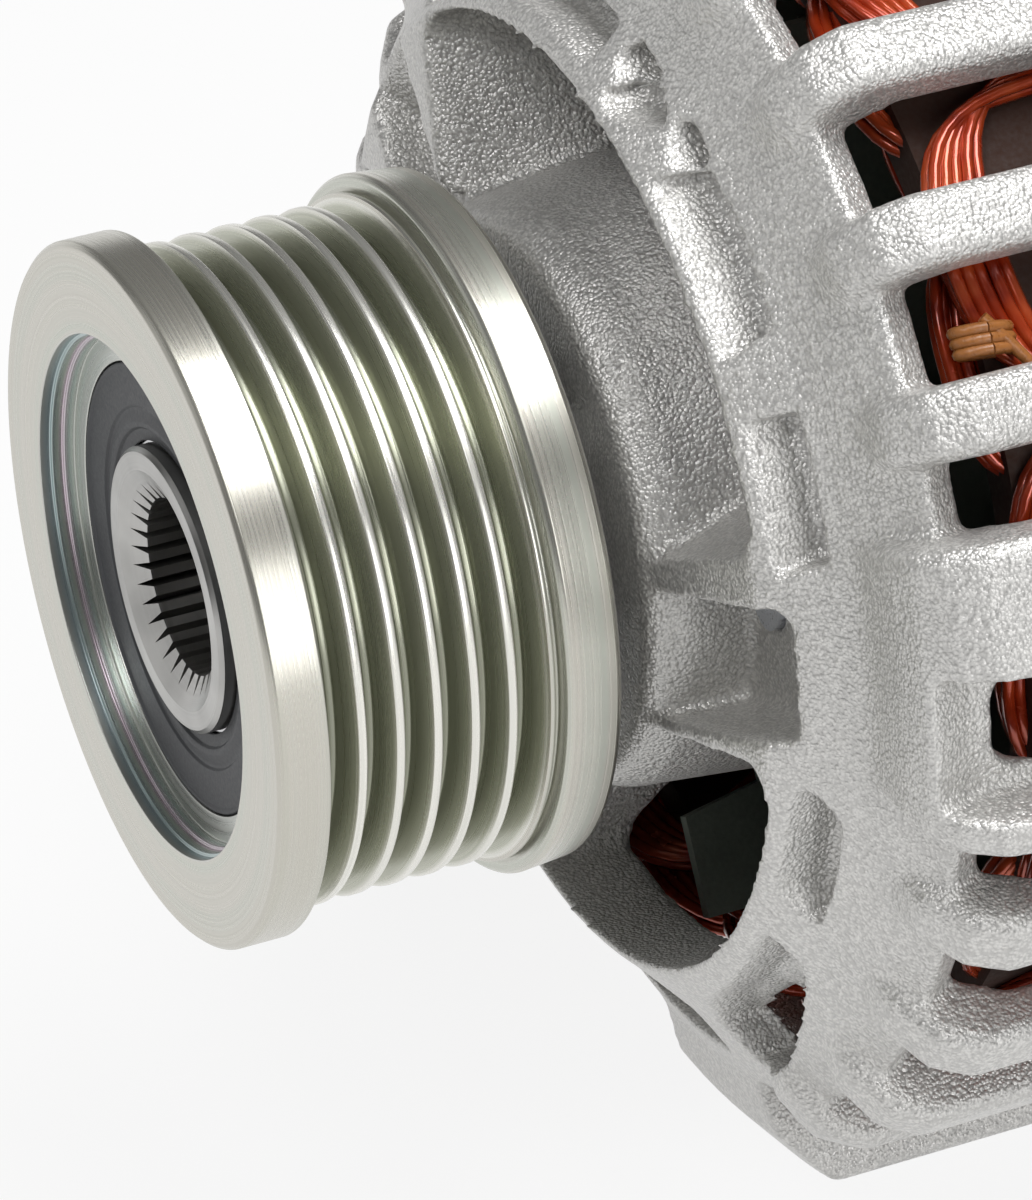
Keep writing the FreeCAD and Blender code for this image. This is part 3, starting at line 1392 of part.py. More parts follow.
os.makedirs("parts", exist_ok=True)
build_pulley()
build_rotor()
build_stator()
build_housing()
build_rear()
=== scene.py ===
import json
import math
import random

import bpy
from mathutils import Matrix, Vector


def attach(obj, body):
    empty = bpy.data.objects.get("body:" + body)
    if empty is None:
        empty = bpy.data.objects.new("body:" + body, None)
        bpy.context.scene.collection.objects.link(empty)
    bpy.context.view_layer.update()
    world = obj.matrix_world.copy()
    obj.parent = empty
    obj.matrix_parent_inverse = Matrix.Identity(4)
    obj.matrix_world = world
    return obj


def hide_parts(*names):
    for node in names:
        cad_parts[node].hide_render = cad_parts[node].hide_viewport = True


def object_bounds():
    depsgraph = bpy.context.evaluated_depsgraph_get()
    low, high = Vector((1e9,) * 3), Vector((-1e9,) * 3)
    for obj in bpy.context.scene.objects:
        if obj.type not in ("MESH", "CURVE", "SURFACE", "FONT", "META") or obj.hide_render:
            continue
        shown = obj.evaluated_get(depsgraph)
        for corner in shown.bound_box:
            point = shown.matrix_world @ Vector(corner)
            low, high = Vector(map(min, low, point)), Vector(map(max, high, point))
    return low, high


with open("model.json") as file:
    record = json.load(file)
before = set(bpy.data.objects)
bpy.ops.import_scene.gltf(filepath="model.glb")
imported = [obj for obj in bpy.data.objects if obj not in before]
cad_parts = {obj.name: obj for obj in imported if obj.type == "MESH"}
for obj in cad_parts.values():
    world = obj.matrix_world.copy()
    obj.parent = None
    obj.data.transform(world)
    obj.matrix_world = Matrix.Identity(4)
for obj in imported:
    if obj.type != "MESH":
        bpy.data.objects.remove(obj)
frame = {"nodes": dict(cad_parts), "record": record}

# Engine alternator with an overrunning belt pulley, seen from the pulley's side.
# Metres, in the frame of the solids: +Y runs rearwards along the shaft, +Z up.
# Angles turn round the shaft from +Z (0) towards +X (90), in degrees.

cad_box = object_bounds()
nodes = frame["nodes"]
mm = 0.001

# Photograph and camera
photo_height_px = 1200
sensor_size = 36.0
focal_px = 7578.0
nearest_seen = 0.01
farthest_seen = 20
camera_place = Vector((516.67, -195.84, 388.49)) * mm
camera_forward = Vector((-0.74526, 0.33572, -0.57610))
camera_up = Vector((-0.52525, 0.23661, 0.81736))

# Floor and light
floor_size = 8.0
floor_gap = 0.5 * mm
floor_glow = 0.88
world_strength = 0.07
# Lamps: name, place, point it faces, width and height, watts
lamps = [
    ("key_light", (0.35, -0.5, 0.95), (0, 0.05, 0), (0.5, 0.5), 4.0),
    ("top_light", (0.1, 0.3, 1.0), (0, 0.05, 0), (0.6, 0.6), 10.0),
    ("side_light", (0.95, 0.2, 0.35), (0, 0.05, 0), (0.4, 0.6), 3.0),
    ("front_light", (-0.5, -0.9, 0.25), (0, 0.02, 0), (0.7, 0.7), 0.8),
]

# Materials: most of a pattern's values lie between these
pattern_low = 0.3
pattern_high = 0.7
# Stacked sheets of the stator, as a pattern
sheet_thickness = 0.5 * mm
sheet_gap = 0.08 * mm

# Modelling in general
lathe_steps = 240
ring_steps = 72
line_merge = 0.001 * mm
copy_merge = 0.002 * mm
edge_round = 0.12 * mm
seal_round = 0.06 * mm
# Edges that turn by more than this, in degrees, get a round or stay sharp in the shading
rounded_from = 15
sharp_from = 60
round_segments = 2

# Castings
front_voxel = 0.5 * mm
rear_voxel = 0.9 * mm
smoothing_factor = 0.5
smoothing_rounds = 2
casting_triangles = 190000
front_nodes = ("drive_end_bracket", "drive_end_face", "drive_end_bearing_seat", "drive_end_ears")
rear_nodes = ("slip_ring_end_bracket", "slip_ring_end_ear")

# Sloping front face of the drive end casting, in millimetres: (radius, y) from the windows outwards
face_line = [(44.6, 40.3), (51.5, 46.3), (60.0, 51.3)]
# Pockets in that face, in millimetres and degrees
pocket_clearance = 3.0
pocket_depth = 4.4
pocket_draft = 0.9
pocket_step = 5.0
# Pockets between two arcs: (inner radius, from, to, outer radius, from, to)
arc_pockets = [
    (46.6, -18.0, 4.5, 50.3, -17.0, 4.0), (45.9, 20.8, 44.8, 50.4, 25.2, 43.2),
    (46.2, 50.5, 68.0, 50.2, 51.0, 67.0), (46.2, 190.0, 206.0, 50.3, 190.0, 207.0),
    (46.2, 212.0, 234.0, 50.3, 213.0, 232.0), (46.2, 238.0, 260.0, 50.3, 236.0, 261.0),
    (46.2, 264.0, 288.0, 50.3, 265.0, 287.0), (46.2, 318.0, 337.0, 50.3, 319.0, 336.0),
    (46.3, 158.0, 184.0, 56.5, 157.0, 180.0),
]
# Pockets between the slanted ribs and under them: corners as (radius, angle)
cornered_pockets = [
    [(50.6, 7.6), (50.5, 12.6), (49.9, 13.9), (47.7, 10.8), (47.4, 9.0), (48.7, 6.2)],
    [(46.7, 7.8), (47.6, 10.6), (50.0, 14.2), (49.0, 18.4), (46.7, 15.0), (45.7, 11.4), (45.8, 9.0)],
    [(49.7, 18.0), (50.7, 20.0), (50.5, 25.0), (47.8, 23.8), (48.0, 20.4)],
    [(46.9, 92.3), (48.5, 93.0), (49.9, 95.5), (50.3, 100.0), (50.2, 106.0), (50.0, 112.5), (46.6, 110.0),
     (46.2, 100.0)],
    [(46.8, 117.0), (50.0, 119.5), (51.0, 123.5), (52.5, 130.0), (54.5, 138.0), (57.0, 146.0),
     (56.0, 151.0), (51.5, 152.0), (48.5, 146.0), (47.2, 135.0), (46.8, 125.0)],
]
# What closes the face under the pockets, in millimetres as (radius, y)
face_backing = [(46.1, 41.6), (51.5, 46.3), (58.6, 50.45), (58.6, 54.0), (50.0, 50.5), (46.1, 49.0)]
# It leaves the bays at the spokes open: from and to as angles
face_backing_spans = [(72.5, 175.5), (192.5, 294.0), (311.0, 415.5)]
face_backing_steps = 60
# Thick lug on the left of the face: outline in millimetres as (radius, y), from and to as angles
left_lug = [(57.0, 52.0), (61.0, 48.2), (70.2, 47.4), (71.6, 48.9), (71.6, 72.0), (60.0, 72.0)]
left_lug_span = (-99.0, -66.0)
left_lug_steps = 12

# Belt pulley
pulley_width = 32.8 * mm
flange_radius = 32.5 * mm
flange_chamfer = 0.5 * mm
groove_count = 6
groove_pitch = 3.56 * mm
first_groove_y = 6.97 * mm
grooves_end_y = 27.2 * mm
groove_crest_radius = 30.5 * mm
groove_depth = 2.9 * mm
groove_bottom_width = 0.7 * mm
groove_flank = math.tan(math.radians(20.0))
shoulder_rise = 0.5 * mm
# Where its plating is green-grey (the grooves, with painted shade towards their bottoms and a painted
# highlight on their crests) and where it is tinted (the recess)
green_from_radius = 25.5 * mm
tinted_from_radius = 20.0 * mm
tinted_to_radius = 24.25 * mm
tint_depth = 3.3 * mm
colour_edge = 0.1 * mm
# Behind the last groove, in millimetres as (radius, y behind the groove's land)
rear_shoulder = [(31.0, 0.0), (31.0, 0.45), (30.2, 0.45), (30.2, 1.05), (32.0, 1.05), (32.5, 1.55)]
# Rear corner of the pulley, in millimetres as (radius, y before the rear face)
rear_corner = [(32.1, 0.5), (31.6, 0.0)]
# Stepped recess in each face, in millimetres as (radius, depth)
recess = [(24.1, 0.0), (24.1, 1.067), (23.75, 1.067), (23.75, 2.133), (23.4, 2.133), (23.4, 3.2), (20.9, 3.2)]
# Seal between pulley and hub, with its moulded step and lip, in millimetres as (radius, depth)
seal_profile = [(20.85, 3.55), (20.85, 4.2), (13.45, 4.2), (13.5, 3.95), (14.6, 3.85), (14.8, 3.55),
                (15.3, 3.45), (16.3, 3.75), (16.6, 3.75), (16.8, 3.5), (20.2, 3.45), (20.45, 3.25),
                (20.7, 3.25)]

# Cooling fans: a plate at each end of the claw poles, with upright blades on slanted lines
fan_plate_thickness = 1.2 * mm
fan_bore = 12.0 * mm
fan_plate_radius = 38.0 * mm
fan_seat_front = 72.0 * mm
fan_seat_rear = 120.0 * mm
blade_count = 11
blade_root_radius = 27.0 * mm
blade_length = 22.8 * mm
blade_lean = -40.0
blade_thickness = 1.4 * mm
first_blade = 186.5
# A blade's edge steps from its inner to its outer height between these lengths along it
blade_step_along = (11.5 * mm, 13.0 * mm)
front_blade_rise = (11.2 * mm, 19.5 * mm)
rear_blade_rise = (14.5 * mm, 14.5 * mm)

# Winding: bundles of wires that stand out of the stator at both ends
slot_count = 36
coil_pitch = 3
wire_radius = 0.62 * mm
overhang_inner = 48.6 * mm
overhang_outer = 59.6 * mm
overhang_length = 22.7 * mm
stator_front = 80.0 * mm
stator_rear = 112.0 * mm
front_rows = 5
rear_rows = 4
front_seed = 7
rear_seed = 11
# Where a bundle starts before its slot, and how far it may wander, in degrees
bundle_lead = 4.0
bundle_wander = 0.8
height_wander = 0.8 * mm
# A bundle's layer, from the innermost (-1) to the outermost (1), and its share of the full height
bundle_layers = (0.66, 0.02, -0.62)
bundle_heights = (0.80, 0.88, 0.72)
# A wire's course from slot to slot: (share of the way across, share of the height)
wire_course = [(0.0, -0.1), (0.0, 0.3), (0.05, 0.68), (0.2, 0.93), (0.5, 1.0), (0.8, 0.93), (0.95, 0.68),
               (1.0, 0.3), (1.0, -0.1)]
least_twist = 0.6
most_twist = 1.5
# Spacing of wires and rows in a bundle, in wire radii, and how flat its twist is pressed
wire_spacing = 1.02
row_spacing = 2.0
twist_flattening = 0.5
wire_wander = 0.2 * mm
radius_wander = 0.15 * mm
# At the front the bundles round this angle stand out further, over the width to each side
lead_bulge = 5.8 * mm
lead_bulge_middle = 205.0
lead_bulge_width = 50.0
# Core of the end turns: a near-black ring, painted shade between and behind the outer wires, seen only
# between them
core_inset = 3.2 * mm
core_length = 19.5 * mm

# Lashing cord of the end turns: place as (radius, angle, y)
lashing_radius = 0.55 * mm
lashing_place = (58.6 * mm, 49.7, 60.0 * mm)
lashing_turns = 3
lashing_steps = 12
lashing_turn_angle = 0.9
lashing_slant = 0.25
lashing_depth = 1.5 * mm
lashing_height = 2.6 * mm
# Its loose end, as (degrees, millimetres rearwards)
tail_radius = 1.2 * mm
tail_course = [(-1.8, 0), (0.9, 2), (4.5, 4.5), (8.1, 6), (10.8, 9)]


def polar(radius, angle, y):
    turn = math.radians(angle)
    return Vector((radius * math.sin(turn), y, radius * math.cos(turn)))


# Materials

class Finish:
    """A procedural material on Object coordinates. Sizes of patterns are in millimetres."""

    def __init__(self, name, colour, metallic=0.0, roughness=0.5, **sockets):
        self.material = bpy.data.materials.new(name)
        self.material.use_nodes = True
        self.tree = self.material.node_tree
        self.shader = self.tree.nodes["Principled BSDF"]
        self.shader.inputs["Base Color"].default_value = (*colour, 1)
        self.shader.inputs["Metallic"].default_value = metallic
        self.shader.inputs["Roughness"].default_value = roughness
        for socket, value in sockets.items():
            self.shader.inputs[socket.replace("_", " ")].default_value = value
        self.base = colour
        self.place = self.add("TexCoord").outputs["Object"]

    def add(self, kind, inputs=None, **settings):
        node = self.tree.nodes.new("ShaderNode" + kind)
        for setting, value in settings.items():
            setattr(node, setting, value)
        for socket, value in (inputs or {}).items():
            self.put(node.inputs[socket], value)
        return node

    def put(self, socket, value):
        if isinstance(value, bpy.types.NodeSocket):
            self.tree.links.new(value, socket)
        elif socket.type == "RGBA" and len(value) == 3:
            socket.default_value = (*value, 1)
        else:
            socket.default_value = value

    def sum(self, operation, first, second=0.0):
        return self.add("Math", {0: first, 1: second}, operation=operation).outputs[0]

    def noise(self, size, detail=2.0, roughness=0.5, place=None):
        node = self.add("TexNoise", {"Vector": place or self.place, "Scale": 1000 / size, "Detail": detail,
                                     "Roughness": roughness})
        return node.outputs[0]

    def cells(self, size):
        return self.add("TexVoronoi", {"Vector": self.place, "Scale": 1000 / size}).outputs["Distance"]

    def spread(self, value, low, high, new_low=0.0, new_high=1.0):
        node = self.add("MapRange", {"Value": value, "From Min": low, "From Max": high, "To Min": new_low,
                                     "To Max": new_high})
        return node.outputs[0]

    def band(self, value, low, high):
        """1 between low and high and 0 outside them."""
        rise = self.spread(value, low - colour_edge, low + colour_edge)
        fall = self.spread(value, high - colour_edge, high + colour_edge, 1.0, 0.0)
        return self.sum("MULTIPLY", rise, fall)

    def blend(self, share, first, second):
        node = self.add("Mix", data_type="RGBA")
        self.put(node.inputs[0], share)
        self.put(node.inputs[6], first)
        self.put(node.inputs[7], second)
        return node.outputs[2]

    def ramp(self, value, stops):
        node = self.add("ValToRGB", {0: value})
        points = node.color_ramp.elements
        while len(points) < len(stops):
            points.new(0.5)
        for point, (position, colour) in zip(points, stops):
            point.position = position
            point.color = (*colour, 1)
        return node.outputs[0]

    def radius_and_y(self):
        parts = self.add("SeparateXYZ", {0: self.place})
        flat = self.add("CombineXYZ", {"X": parts.outputs["X"], "Z": parts.outputs["Z"]})
        length = self.add("VectorMath", {0: flat.outputs[0]}, operation="LENGTH")
        return length.outputs["Value"], parts.outputs["Y"]

    def turned_place(self):
        """A place that stays the same round the shaft, for marks left by turning."""
        radius, y = self.radius_and_y()
        return self.add("CombineXYZ", {"X": radius, "Y": y}).outputs[0]

    def colour(self, value):
        self.put(self.shader.inputs["Base Color"], value)

    def rough(self, value, low, high):
        """Roughness that follows a pattern, from low to high."""
        self.put(self.shader.inputs["Roughness"], self.spread(value, pattern_low, pattern_high, low, high))

    def bump(self, height, depth):
        node = self.add("Bump", {"Height": height, "Distance": depth * mm, "Strength": 1.0})
        self.put(self.shader.inputs["Normal"], node.outputs[0])

    def shades(self, value, dark, light):
        """The base colour, from its dark to its light shade."""
        low = tuple(channel * dark for channel in self.base)
        high = tuple(min(1.0, channel * light) for channel in self.base)
        return self.ramp(value, [(pattern_low, low), (pattern_high, high)])


def cast_aluminium():
    finish = Finish("cast_aluminium", (0.70, 0.69, 0.67), metallic=0.55, roughness=0.45)
    specks = finish.sum("MULTIPLY", finish.cells(0.36), -0.75)
    grain = finish.sum("ADD", specks, finish.noise(0.6, roughness=0.6))
    grain = finish.sum("ADD", grain, 0.33)
    patches = finish.spread(finish.noise(7.0), 0.35, 0.75, 0.0, 0.12)
    finish.colour(finish.blend(patches, finish.shades(grain, 0.8, 1.15), (0.55, 0.55, 0.54)))
    finish.rough(grain, 0.34, 0.5)
    finish.bump(grain, 0.17)
    return finish.material


def plated_pulley_steel():
    """Plated steel: green-grey plating in the grooves, with painted shade towards the groove bottoms and a
    painted highlight in pale cream on the crests, and a tinted recess in the front.
    """
    finish = Finish("plated_pulley_steel", (0.60, 0.59, 0.52), metallic=0.85, roughness=0.3)
    radius, y = finish.radius_and_y()
    lines = finish.noise(0.3, detail=3.0, roughness=0.7, place=finish.turned_place())
    film = finish.noise(2.2, detail=1.0, place=finish.turned_place())
    plain = finish.ramp(film, [(0.3, (0.57, 0.565, 0.49)), (0.5, (0.61, 0.59, 0.53)),
                               (0.72, (0.55, 0.575, 0.51))])
    depth = finish.spread(radius, groove_crest_radius - groove_depth, groove_crest_radius)
    # Colour of the grooves by depth: green-grey plating, darkened towards the bottoms as painted shade and
    # pale cream on the crests as a painted highlight
    groove_plating_and_painted_light = finish.ramp(depth, [(0.0, (0.30, 0.31, 0.24)), (0.35, (0.38, 0.39, 0.31)),
                                (0.8, (0.50, 0.51, 0.42)), (0.97, (0.85, 0.84, 0.78))])
    in_radius = finish.band(radius, green_from_radius, groove_crest_radius + colour_edge)
    in_width = finish.band(y, first_groove_y - groove_pitch / 2, grooves_end_y)
    in_recess = finish.band(radius, tinted_from_radius, tinted_to_radius)
    tint = finish.ramp(finish.spread(y, 0.0, tint_depth),
                       [(0.0, (0.60, 0.60, 0.56)), (0.25, (0.42, 0.52, 0.55)), (0.5, (0.55, 0.62, 0.55)),
                        (0.62, (0.66, 0.55, 0.62)), (0.8, (0.46, 0.55, 0.52)), (1.0, (0.62, 0.62, 0.58))])
    body = finish.blend(finish.sum("MULTIPLY", in_radius, in_width), plain, groove_plating_and_painted_light)
    body = finish.blend(in_recess, body, tint)
    finish.colour(finish.blend(finish.spread(lines, 0.3, 0.8, 0.0, 0.25), body, (0.42, 0.42, 0.38)))
    finish.rough(lines, 0.22, 0.36)
    finish.bump(lines, 0.02)
    return finish.material


def turned_steel(name, colour, roughness, depth=0.015):
    """Bare metal with fine turning lines."""
    finish = Finish(name, colour, metallic=1.0, roughness=roughness)
    lines = finish.noise(0.25, detail=3.0, roughness=0.7, place=finish.turned_place())
    finish.colour(finish.shades(finish.noise(6.0, detail=3.0), 0.85, 1.1))
    finish.rough(lines, roughness * 0.8, roughness * 1.25)
    finish.bump(lines, depth)
    return finish.material


def grained(name, colour, roughness, size, depth, metallic=0.0, contrast=0.12):
    """A material with an even fine grain, for moulded, pressed and forged pieces."""
    finish = Finish(name, colour, metallic=metallic, roughness=roughness)
    grain = finish.noise(size, detail=3.0, roughness=0.6)
    patches = finish.noise(size * 18)
    mixed = finish.sum("ADD", finish.sum("MULTIPLY", grain, 0.6), finish.sum("MULTIPLY", patches, 0.4))
    finish.colour(finish.shades(mixed, 1 - contrast, 1 + contrast))
    finish.rough(grain, roughness * 0.85, min(1.0, roughness * 1.15))
    finish.bump(grain, depth)
    return finish.material


def laminated_steel():
    """Stacked sheets, whose edges show as lines across the shaft."""
    finish = Finish("laminated_steel", (0.36, 0.36, 0.36), metallic=0.9, roughness=0.45)
    y = finish.radius_and_y()[1]
    edge = finish.spread(finish.sum("PINGPONG", y, sheet_thickness / 2), 0.0, sheet_gap)
    rust = finish.noise(7.0, detail=4.0)
    finish.colour(finish.blend(edge, (0.16, 0.155, 0.15), finish.shades(rust, 0.75, 1.15)))
    finish.rough(rust, 0.4, 0.6)
    finish.bump(edge, 0.05)
    return finish.material


def enamelled_copper():
    """Copper wire under a clear red enamel."""
    finish = Finish("enamelled_copper", (0.45, 0.05, 0.012), metallic=0.35, roughness=0.25, Coat_Weight=0.7,
                    Coat_Roughness=0.04, Coat_IOR=1.5)
    finish.colour(finish.ramp(finish.noise(4.0), [(0.3, (0.24, 0.016, 0.005)), (0.5, (0.44, 0.045, 0.010)),
                                                  (0.75, (0.60, 0.10, 0.025))]))
    finish.rough(finish.noise(1.6), 0.12, 0.28)
    finish.bump(finish.noise(1.1, detail=1.0), 0.03)
    return finish.material


materials = {
    "cast_aluminium": cast_aluminium(),
    "plated_pulley_steel": plated_pulley_steel(),
    "hub_steel": turned_steel("hub_steel", (0.46, 0.455, 0.44), 0.34),
    "bearing_steel": turned_steel("bearing_steel", (0.62, 0.62, 0.63), 0.14, depth=0.004),
    "seal_rubber": grained("seal_rubber", (0.045, 0.047, 0.052), 0.5, 0.3, 0.02),
    "cage_plastic": grained("cage_plastic", (0.16, 0.14, 0.10), 0.45, 0.5, 0.01),
    "laminated_steel": laminated_steel(),
    "enamelled_copper": enamelled_copper(),
    "slot_insulation": grained("slot_insulation", (0.30, 0.115, 0.03), 0.3, 0.5, 0.06, contrast=0.3),
    "forged_pole_steel": grained("forged_pole_steel", (0.30, 0.30, 0.29), 0.42, 0.8, 0.05, metallic=0.9),
    "bobbin_plastic": grained("bobbin_plastic", (0.10, 0.10, 0.10), 0.5, 0.4, 0.01),
    "fan_sheet": grained("fan_sheet", (0.13, 0.15, 0.125), 0.36, 0.5, 0.03, metallic=0.35, contrast=0.2),
    "slip_ring_copper": turned_steel("slip_ring_copper", (0.75, 0.40, 0.24), 0.2, depth=0.006),
    # Near-black resin; the core of the end turns also wears it as painted shade
    "moulded_resin": grained("moulded_resin", (0.035, 0.014, 0.008), 0.8, 0.5, 0.01),
    "plated_fastener": grained("plated_fastener", (0.54, 0.56, 0.60), 0.3, 0.35, 0.015, metallic=1.0),
    "rectifier_aluminium": grained("rectifier_aluminium", (0.60, 0.60, 0.60), 0.38, 0.3, 0.01, metallic=1.0),
    "diode_case": grained("diode_case", (0.52, 0.46, 0.38), 0.3, 0.4, 0.01, metallic=1.0),
    "black_plastic": grained("black_plastic", (0.03, 0.03, 0.032), 0.42, 0.35, 0.04, contrast=0.2),
    "regulator_plastic": grained("regulator_plastic", (0.05, 0.047, 0.043), 0.45, 0.4, 0.03, contrast=0.2),
    "carbon": grained("carbon", (0.05, 0.05, 0.05), 0.55, 0.2, 0.02, contrast=0.25),
    "spring_wire": grained("spring_wire", (0.5, 0.5, 0.5), 0.25, 0.3, 0.005, metallic=1.0),
    "tinned_pin": grained("tinned_pin", (0.75, 0.75, 0.74), 0.2, 0.5, 0.005, metallic=1.0),
}


def dress(piece, slot):
    piece.data.materials.clear()
    piece.data.materials.append(materials[slot])


for part in frame["record"]["subparts"]:
    dress(nodes[part["node"]], part["material_slot"])


# Modelling helpers

def alone(piece):
    bpy.ops.object.select_all(action="DESELECT")
    piece.select_set(True)
    bpy.context.view_layer.objects.active = piece


def placed(piece, name, body, slot, *replaced):
    """Names and dresses a finished piece, hangs it on the body that carries it, and hides the parts that it
    stands for.
    """
    piece.name = name
    piece.data.name = name
    dress(piece, slot)
    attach(piece, body)
    if replaced:
        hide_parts(*replaced)


def apply_modifier(piece, kind, **settings):
    modifier = piece.modifiers.new(kind.lower(), kind)
    for setting, value in settings.items():
        setattr(modifier, setting, value)
    bpy.ops.object.modifier_apply(modifier=modifier.name)


def own_copy(source, name):
    """A copy with a mesh of its own, left in edit mode with all of it selected."""
    piece = bpy.data.objects.new(name, source.data.copy())
    bpy.context.scene.collection.objects.link(piece)
    alone(piece)
    bpy.ops.object.mode_set(mode="EDIT")
    bpy.ops.mesh.select_all(action="SELECT")
    return piece


def node_copy(name):
    """A merged copy of a node's mesh."""
    piece = own_copy(nodes[name], name + "_copy")
    bpy.ops.mesh.remove_doubles(threshold=copy_merge)
    bpy.ops.object.mode_set(mode="OBJECT")
    return piece


def turned_copy(piece, angle):
    copy = own_copy(piece, piece.name)
    bpy.ops.transform.rotate(value=math.radians(angle), orient_axis="Y", orient_type="GLOBAL",
                             center_override=(0, 0, 0))
    bpy.ops.object.mode_set(mode="OBJECT")
    return copy


def drawn(points):
    """A closed line through the points, left in edit mode with all of it selected."""
    bpy.ops.object.select_all(action="DESELECT")
    bpy.ops.mesh.primitive_plane_add(size=mm, location=(0, 0, 0))
    piece = bpy.context.object
    bpy.ops.object.mode_set(mode="EDIT")
    bpy.ops.mesh.merge(type="CENTER")
    here = Vector(points[0])
    bpy.ops.transform.translate(value=here)
    for point in points[1:] + points[:1]:
        bpy.ops.mesh.extrude_vertices_move(TRANSFORM_OT_translate={"value": Vector(point) - here})
        here = Vector(point)
    bpy.ops.mesh.select_all(action="SELECT")
    bpy.ops.mesh.remove_doubles(threshold=line_merge)
    bpy.ops.mesh.select_all(action="SELECT")
    return piece


def closed():
    """Ends the modelling of a closed piece: its normals turn outwards."""
    bpy.ops.mesh.select_all(action="SELECT")
    bpy.ops.mesh.normals_make_consistent(inside=False)
    bpy.ops.object.mode_set(mode="OBJECT")


def lathe(outline, steps=lathe_steps, span=None):
    """Turns a closed outline of (radius, y) round the shaft, or between two angles."""
    start = span[0] if span else 90
    piece = drawn([polar(radius, start, y) for radius, y in outline])
    turn = 2 * math.pi
    if span:
        turn = math.radians(span[1] - span[0])
        bpy.ops.mesh.edge_face_add()
    bpy.ops.mesh.spin(steps=steps, angle=turn, center=(0, 0, 0), axis=(0, 1, 0), use_auto_merge=True)
    bpy.ops.mesh.select_all(action="SELECT")
    bpy.ops.mesh.remove_doubles(threshold=line_merge)
    closed()
    return piece


def ring(inner, outer, y, height):
    """A plain ring that stands on y."""
    return lathe([(inner, y), (outer, y), (outer, y + height), (inner, y + height)], steps=ring_steps)


def rounded_lathe(outline, round_width):
    """A turned piece with fine rounds on its edges."""
    piece = lathe(outline)
    alone(piece)
    apply_modifier(piece, "BEVEL", width=round_width, segments=round_segments, limit_method="ANGLE",
                   angle_limit=math.radians(rounded_from), harden_normals=False)
    bpy.ops.object.shade_smooth_by_angle(angle=math.radians(sharp_from))
    apply_modifier(piece, "WEIGHTED_NORMAL", mode="FACE_AREA", weight=100, keep_sharp=True)
    return piece


def joined(pieces):
    bpy.ops.object.select_all(action="DESELECT")
    for piece in pieces:
        piece.select_set(True)
    bpy.context.view_layer.objects.active = pieces[0]
    bpy.ops.object.join()
    return pieces[0]


def in_mm(outline):
    return [(radius * mm, y * mm) for radius, y in outline]


# Castings

def face_y(radius):
    """Depth of the sloping face at a radius, in millimetres."""
    (r0, y0), (r1, y1) = face_line[:2] if radius < face_line[1][0] else face_line[1:]
    return y0 + (radius - r0) * (y1 - y0) / (r1 - r0)


def arc_corners(inner, inner_from, inner_to, outer, outer_from, outer_to):
    """Corners of a pocket between two arcs, there along the inner one and back along the outer one."""
    steps = max(2, round((inner_to - inner_from) / pocket_step))
    there = [(inner, inner_from + (inner_to - inner_from) * step / steps) for step in range(steps + 1)]
    back = [(outer, outer_to + (outer_from - outer_to) * step / steps) for step in range(steps + 1)]
    return there + back


def pocket(corners):
    """What is cut from the sloping face for one pocket, with drafted walls."""
    top = [polar(radius * mm, angle, (face_y(radius) - pocket_clearance) * mm) for radius, angle in corners]
    down = Vector((0, (pocket_clearance + pocket_depth) * mm, 0))
    piece = drawn(top)
    bpy.ops.mesh.edge_face_add()
    bpy.ops.mesh.extrude_region_move(TRANSFORM_OT_translate={"value": down})
    middle = sum(top, Vector()) / len(top)
    bpy.ops.transform.resize(value=(pocket_draft,) * 3, center_override=middle + down)
    closed()
    return piece


def fuse(piece, voxel):
    alone(piece)
    apply_modifier(piece, "REMESH", mode="VOXEL", voxel_size=voxel)


def mould(piece, name, voxel, replaced):
    """Gives a cast bracket the rounded edges that its mould leaves."""
    fuse(piece, voxel)
    apply_modifier(piece, "SMOOTH", factor=smoothing_factor, iterations=smoothing_rounds)
    triangles = 2 * len(piece.data.polygons)
    if triangles > casting_triangles:
        apply_modifier(piece, "DECIMATE", ratio=casting_triangles / triangles)
    bpy.ops.object.shade_smooth()
    placed(piece, name, "housing", "cast_aluminium", *replaced)


def front_casting():
    parts = [node_copy(name) for name in front_nodes]
    parts += [lathe(in_mm(face_backing), face_backing_steps, span) for span in face_backing_spans]
    parts.append(lathe(in_mm(left_lug), left_lug_steps, left_lug_span))
    piece = joined(parts)
    fuse(piece, front_voxel)
    outlines = [arc_corners(*arcs) for arcs in arc_pockets] + cornered_pockets
    pockets = joined([pocket(corners) for corners in outlines])
    alone(piece)
    apply_modifier(piece, "BOOLEAN", object=pockets, operation="DIFFERENCE", solver="MANIFOLD")
    bpy.data.objects.remove(pockets)
    mould(piece, "front_casting", front_voxel, front_nodes)


def rear_casting():
    mould(joined([node_copy(name) for name in rear_nodes]), "rear_casting", rear_voxel, rear_nodes)


# Belt pulley

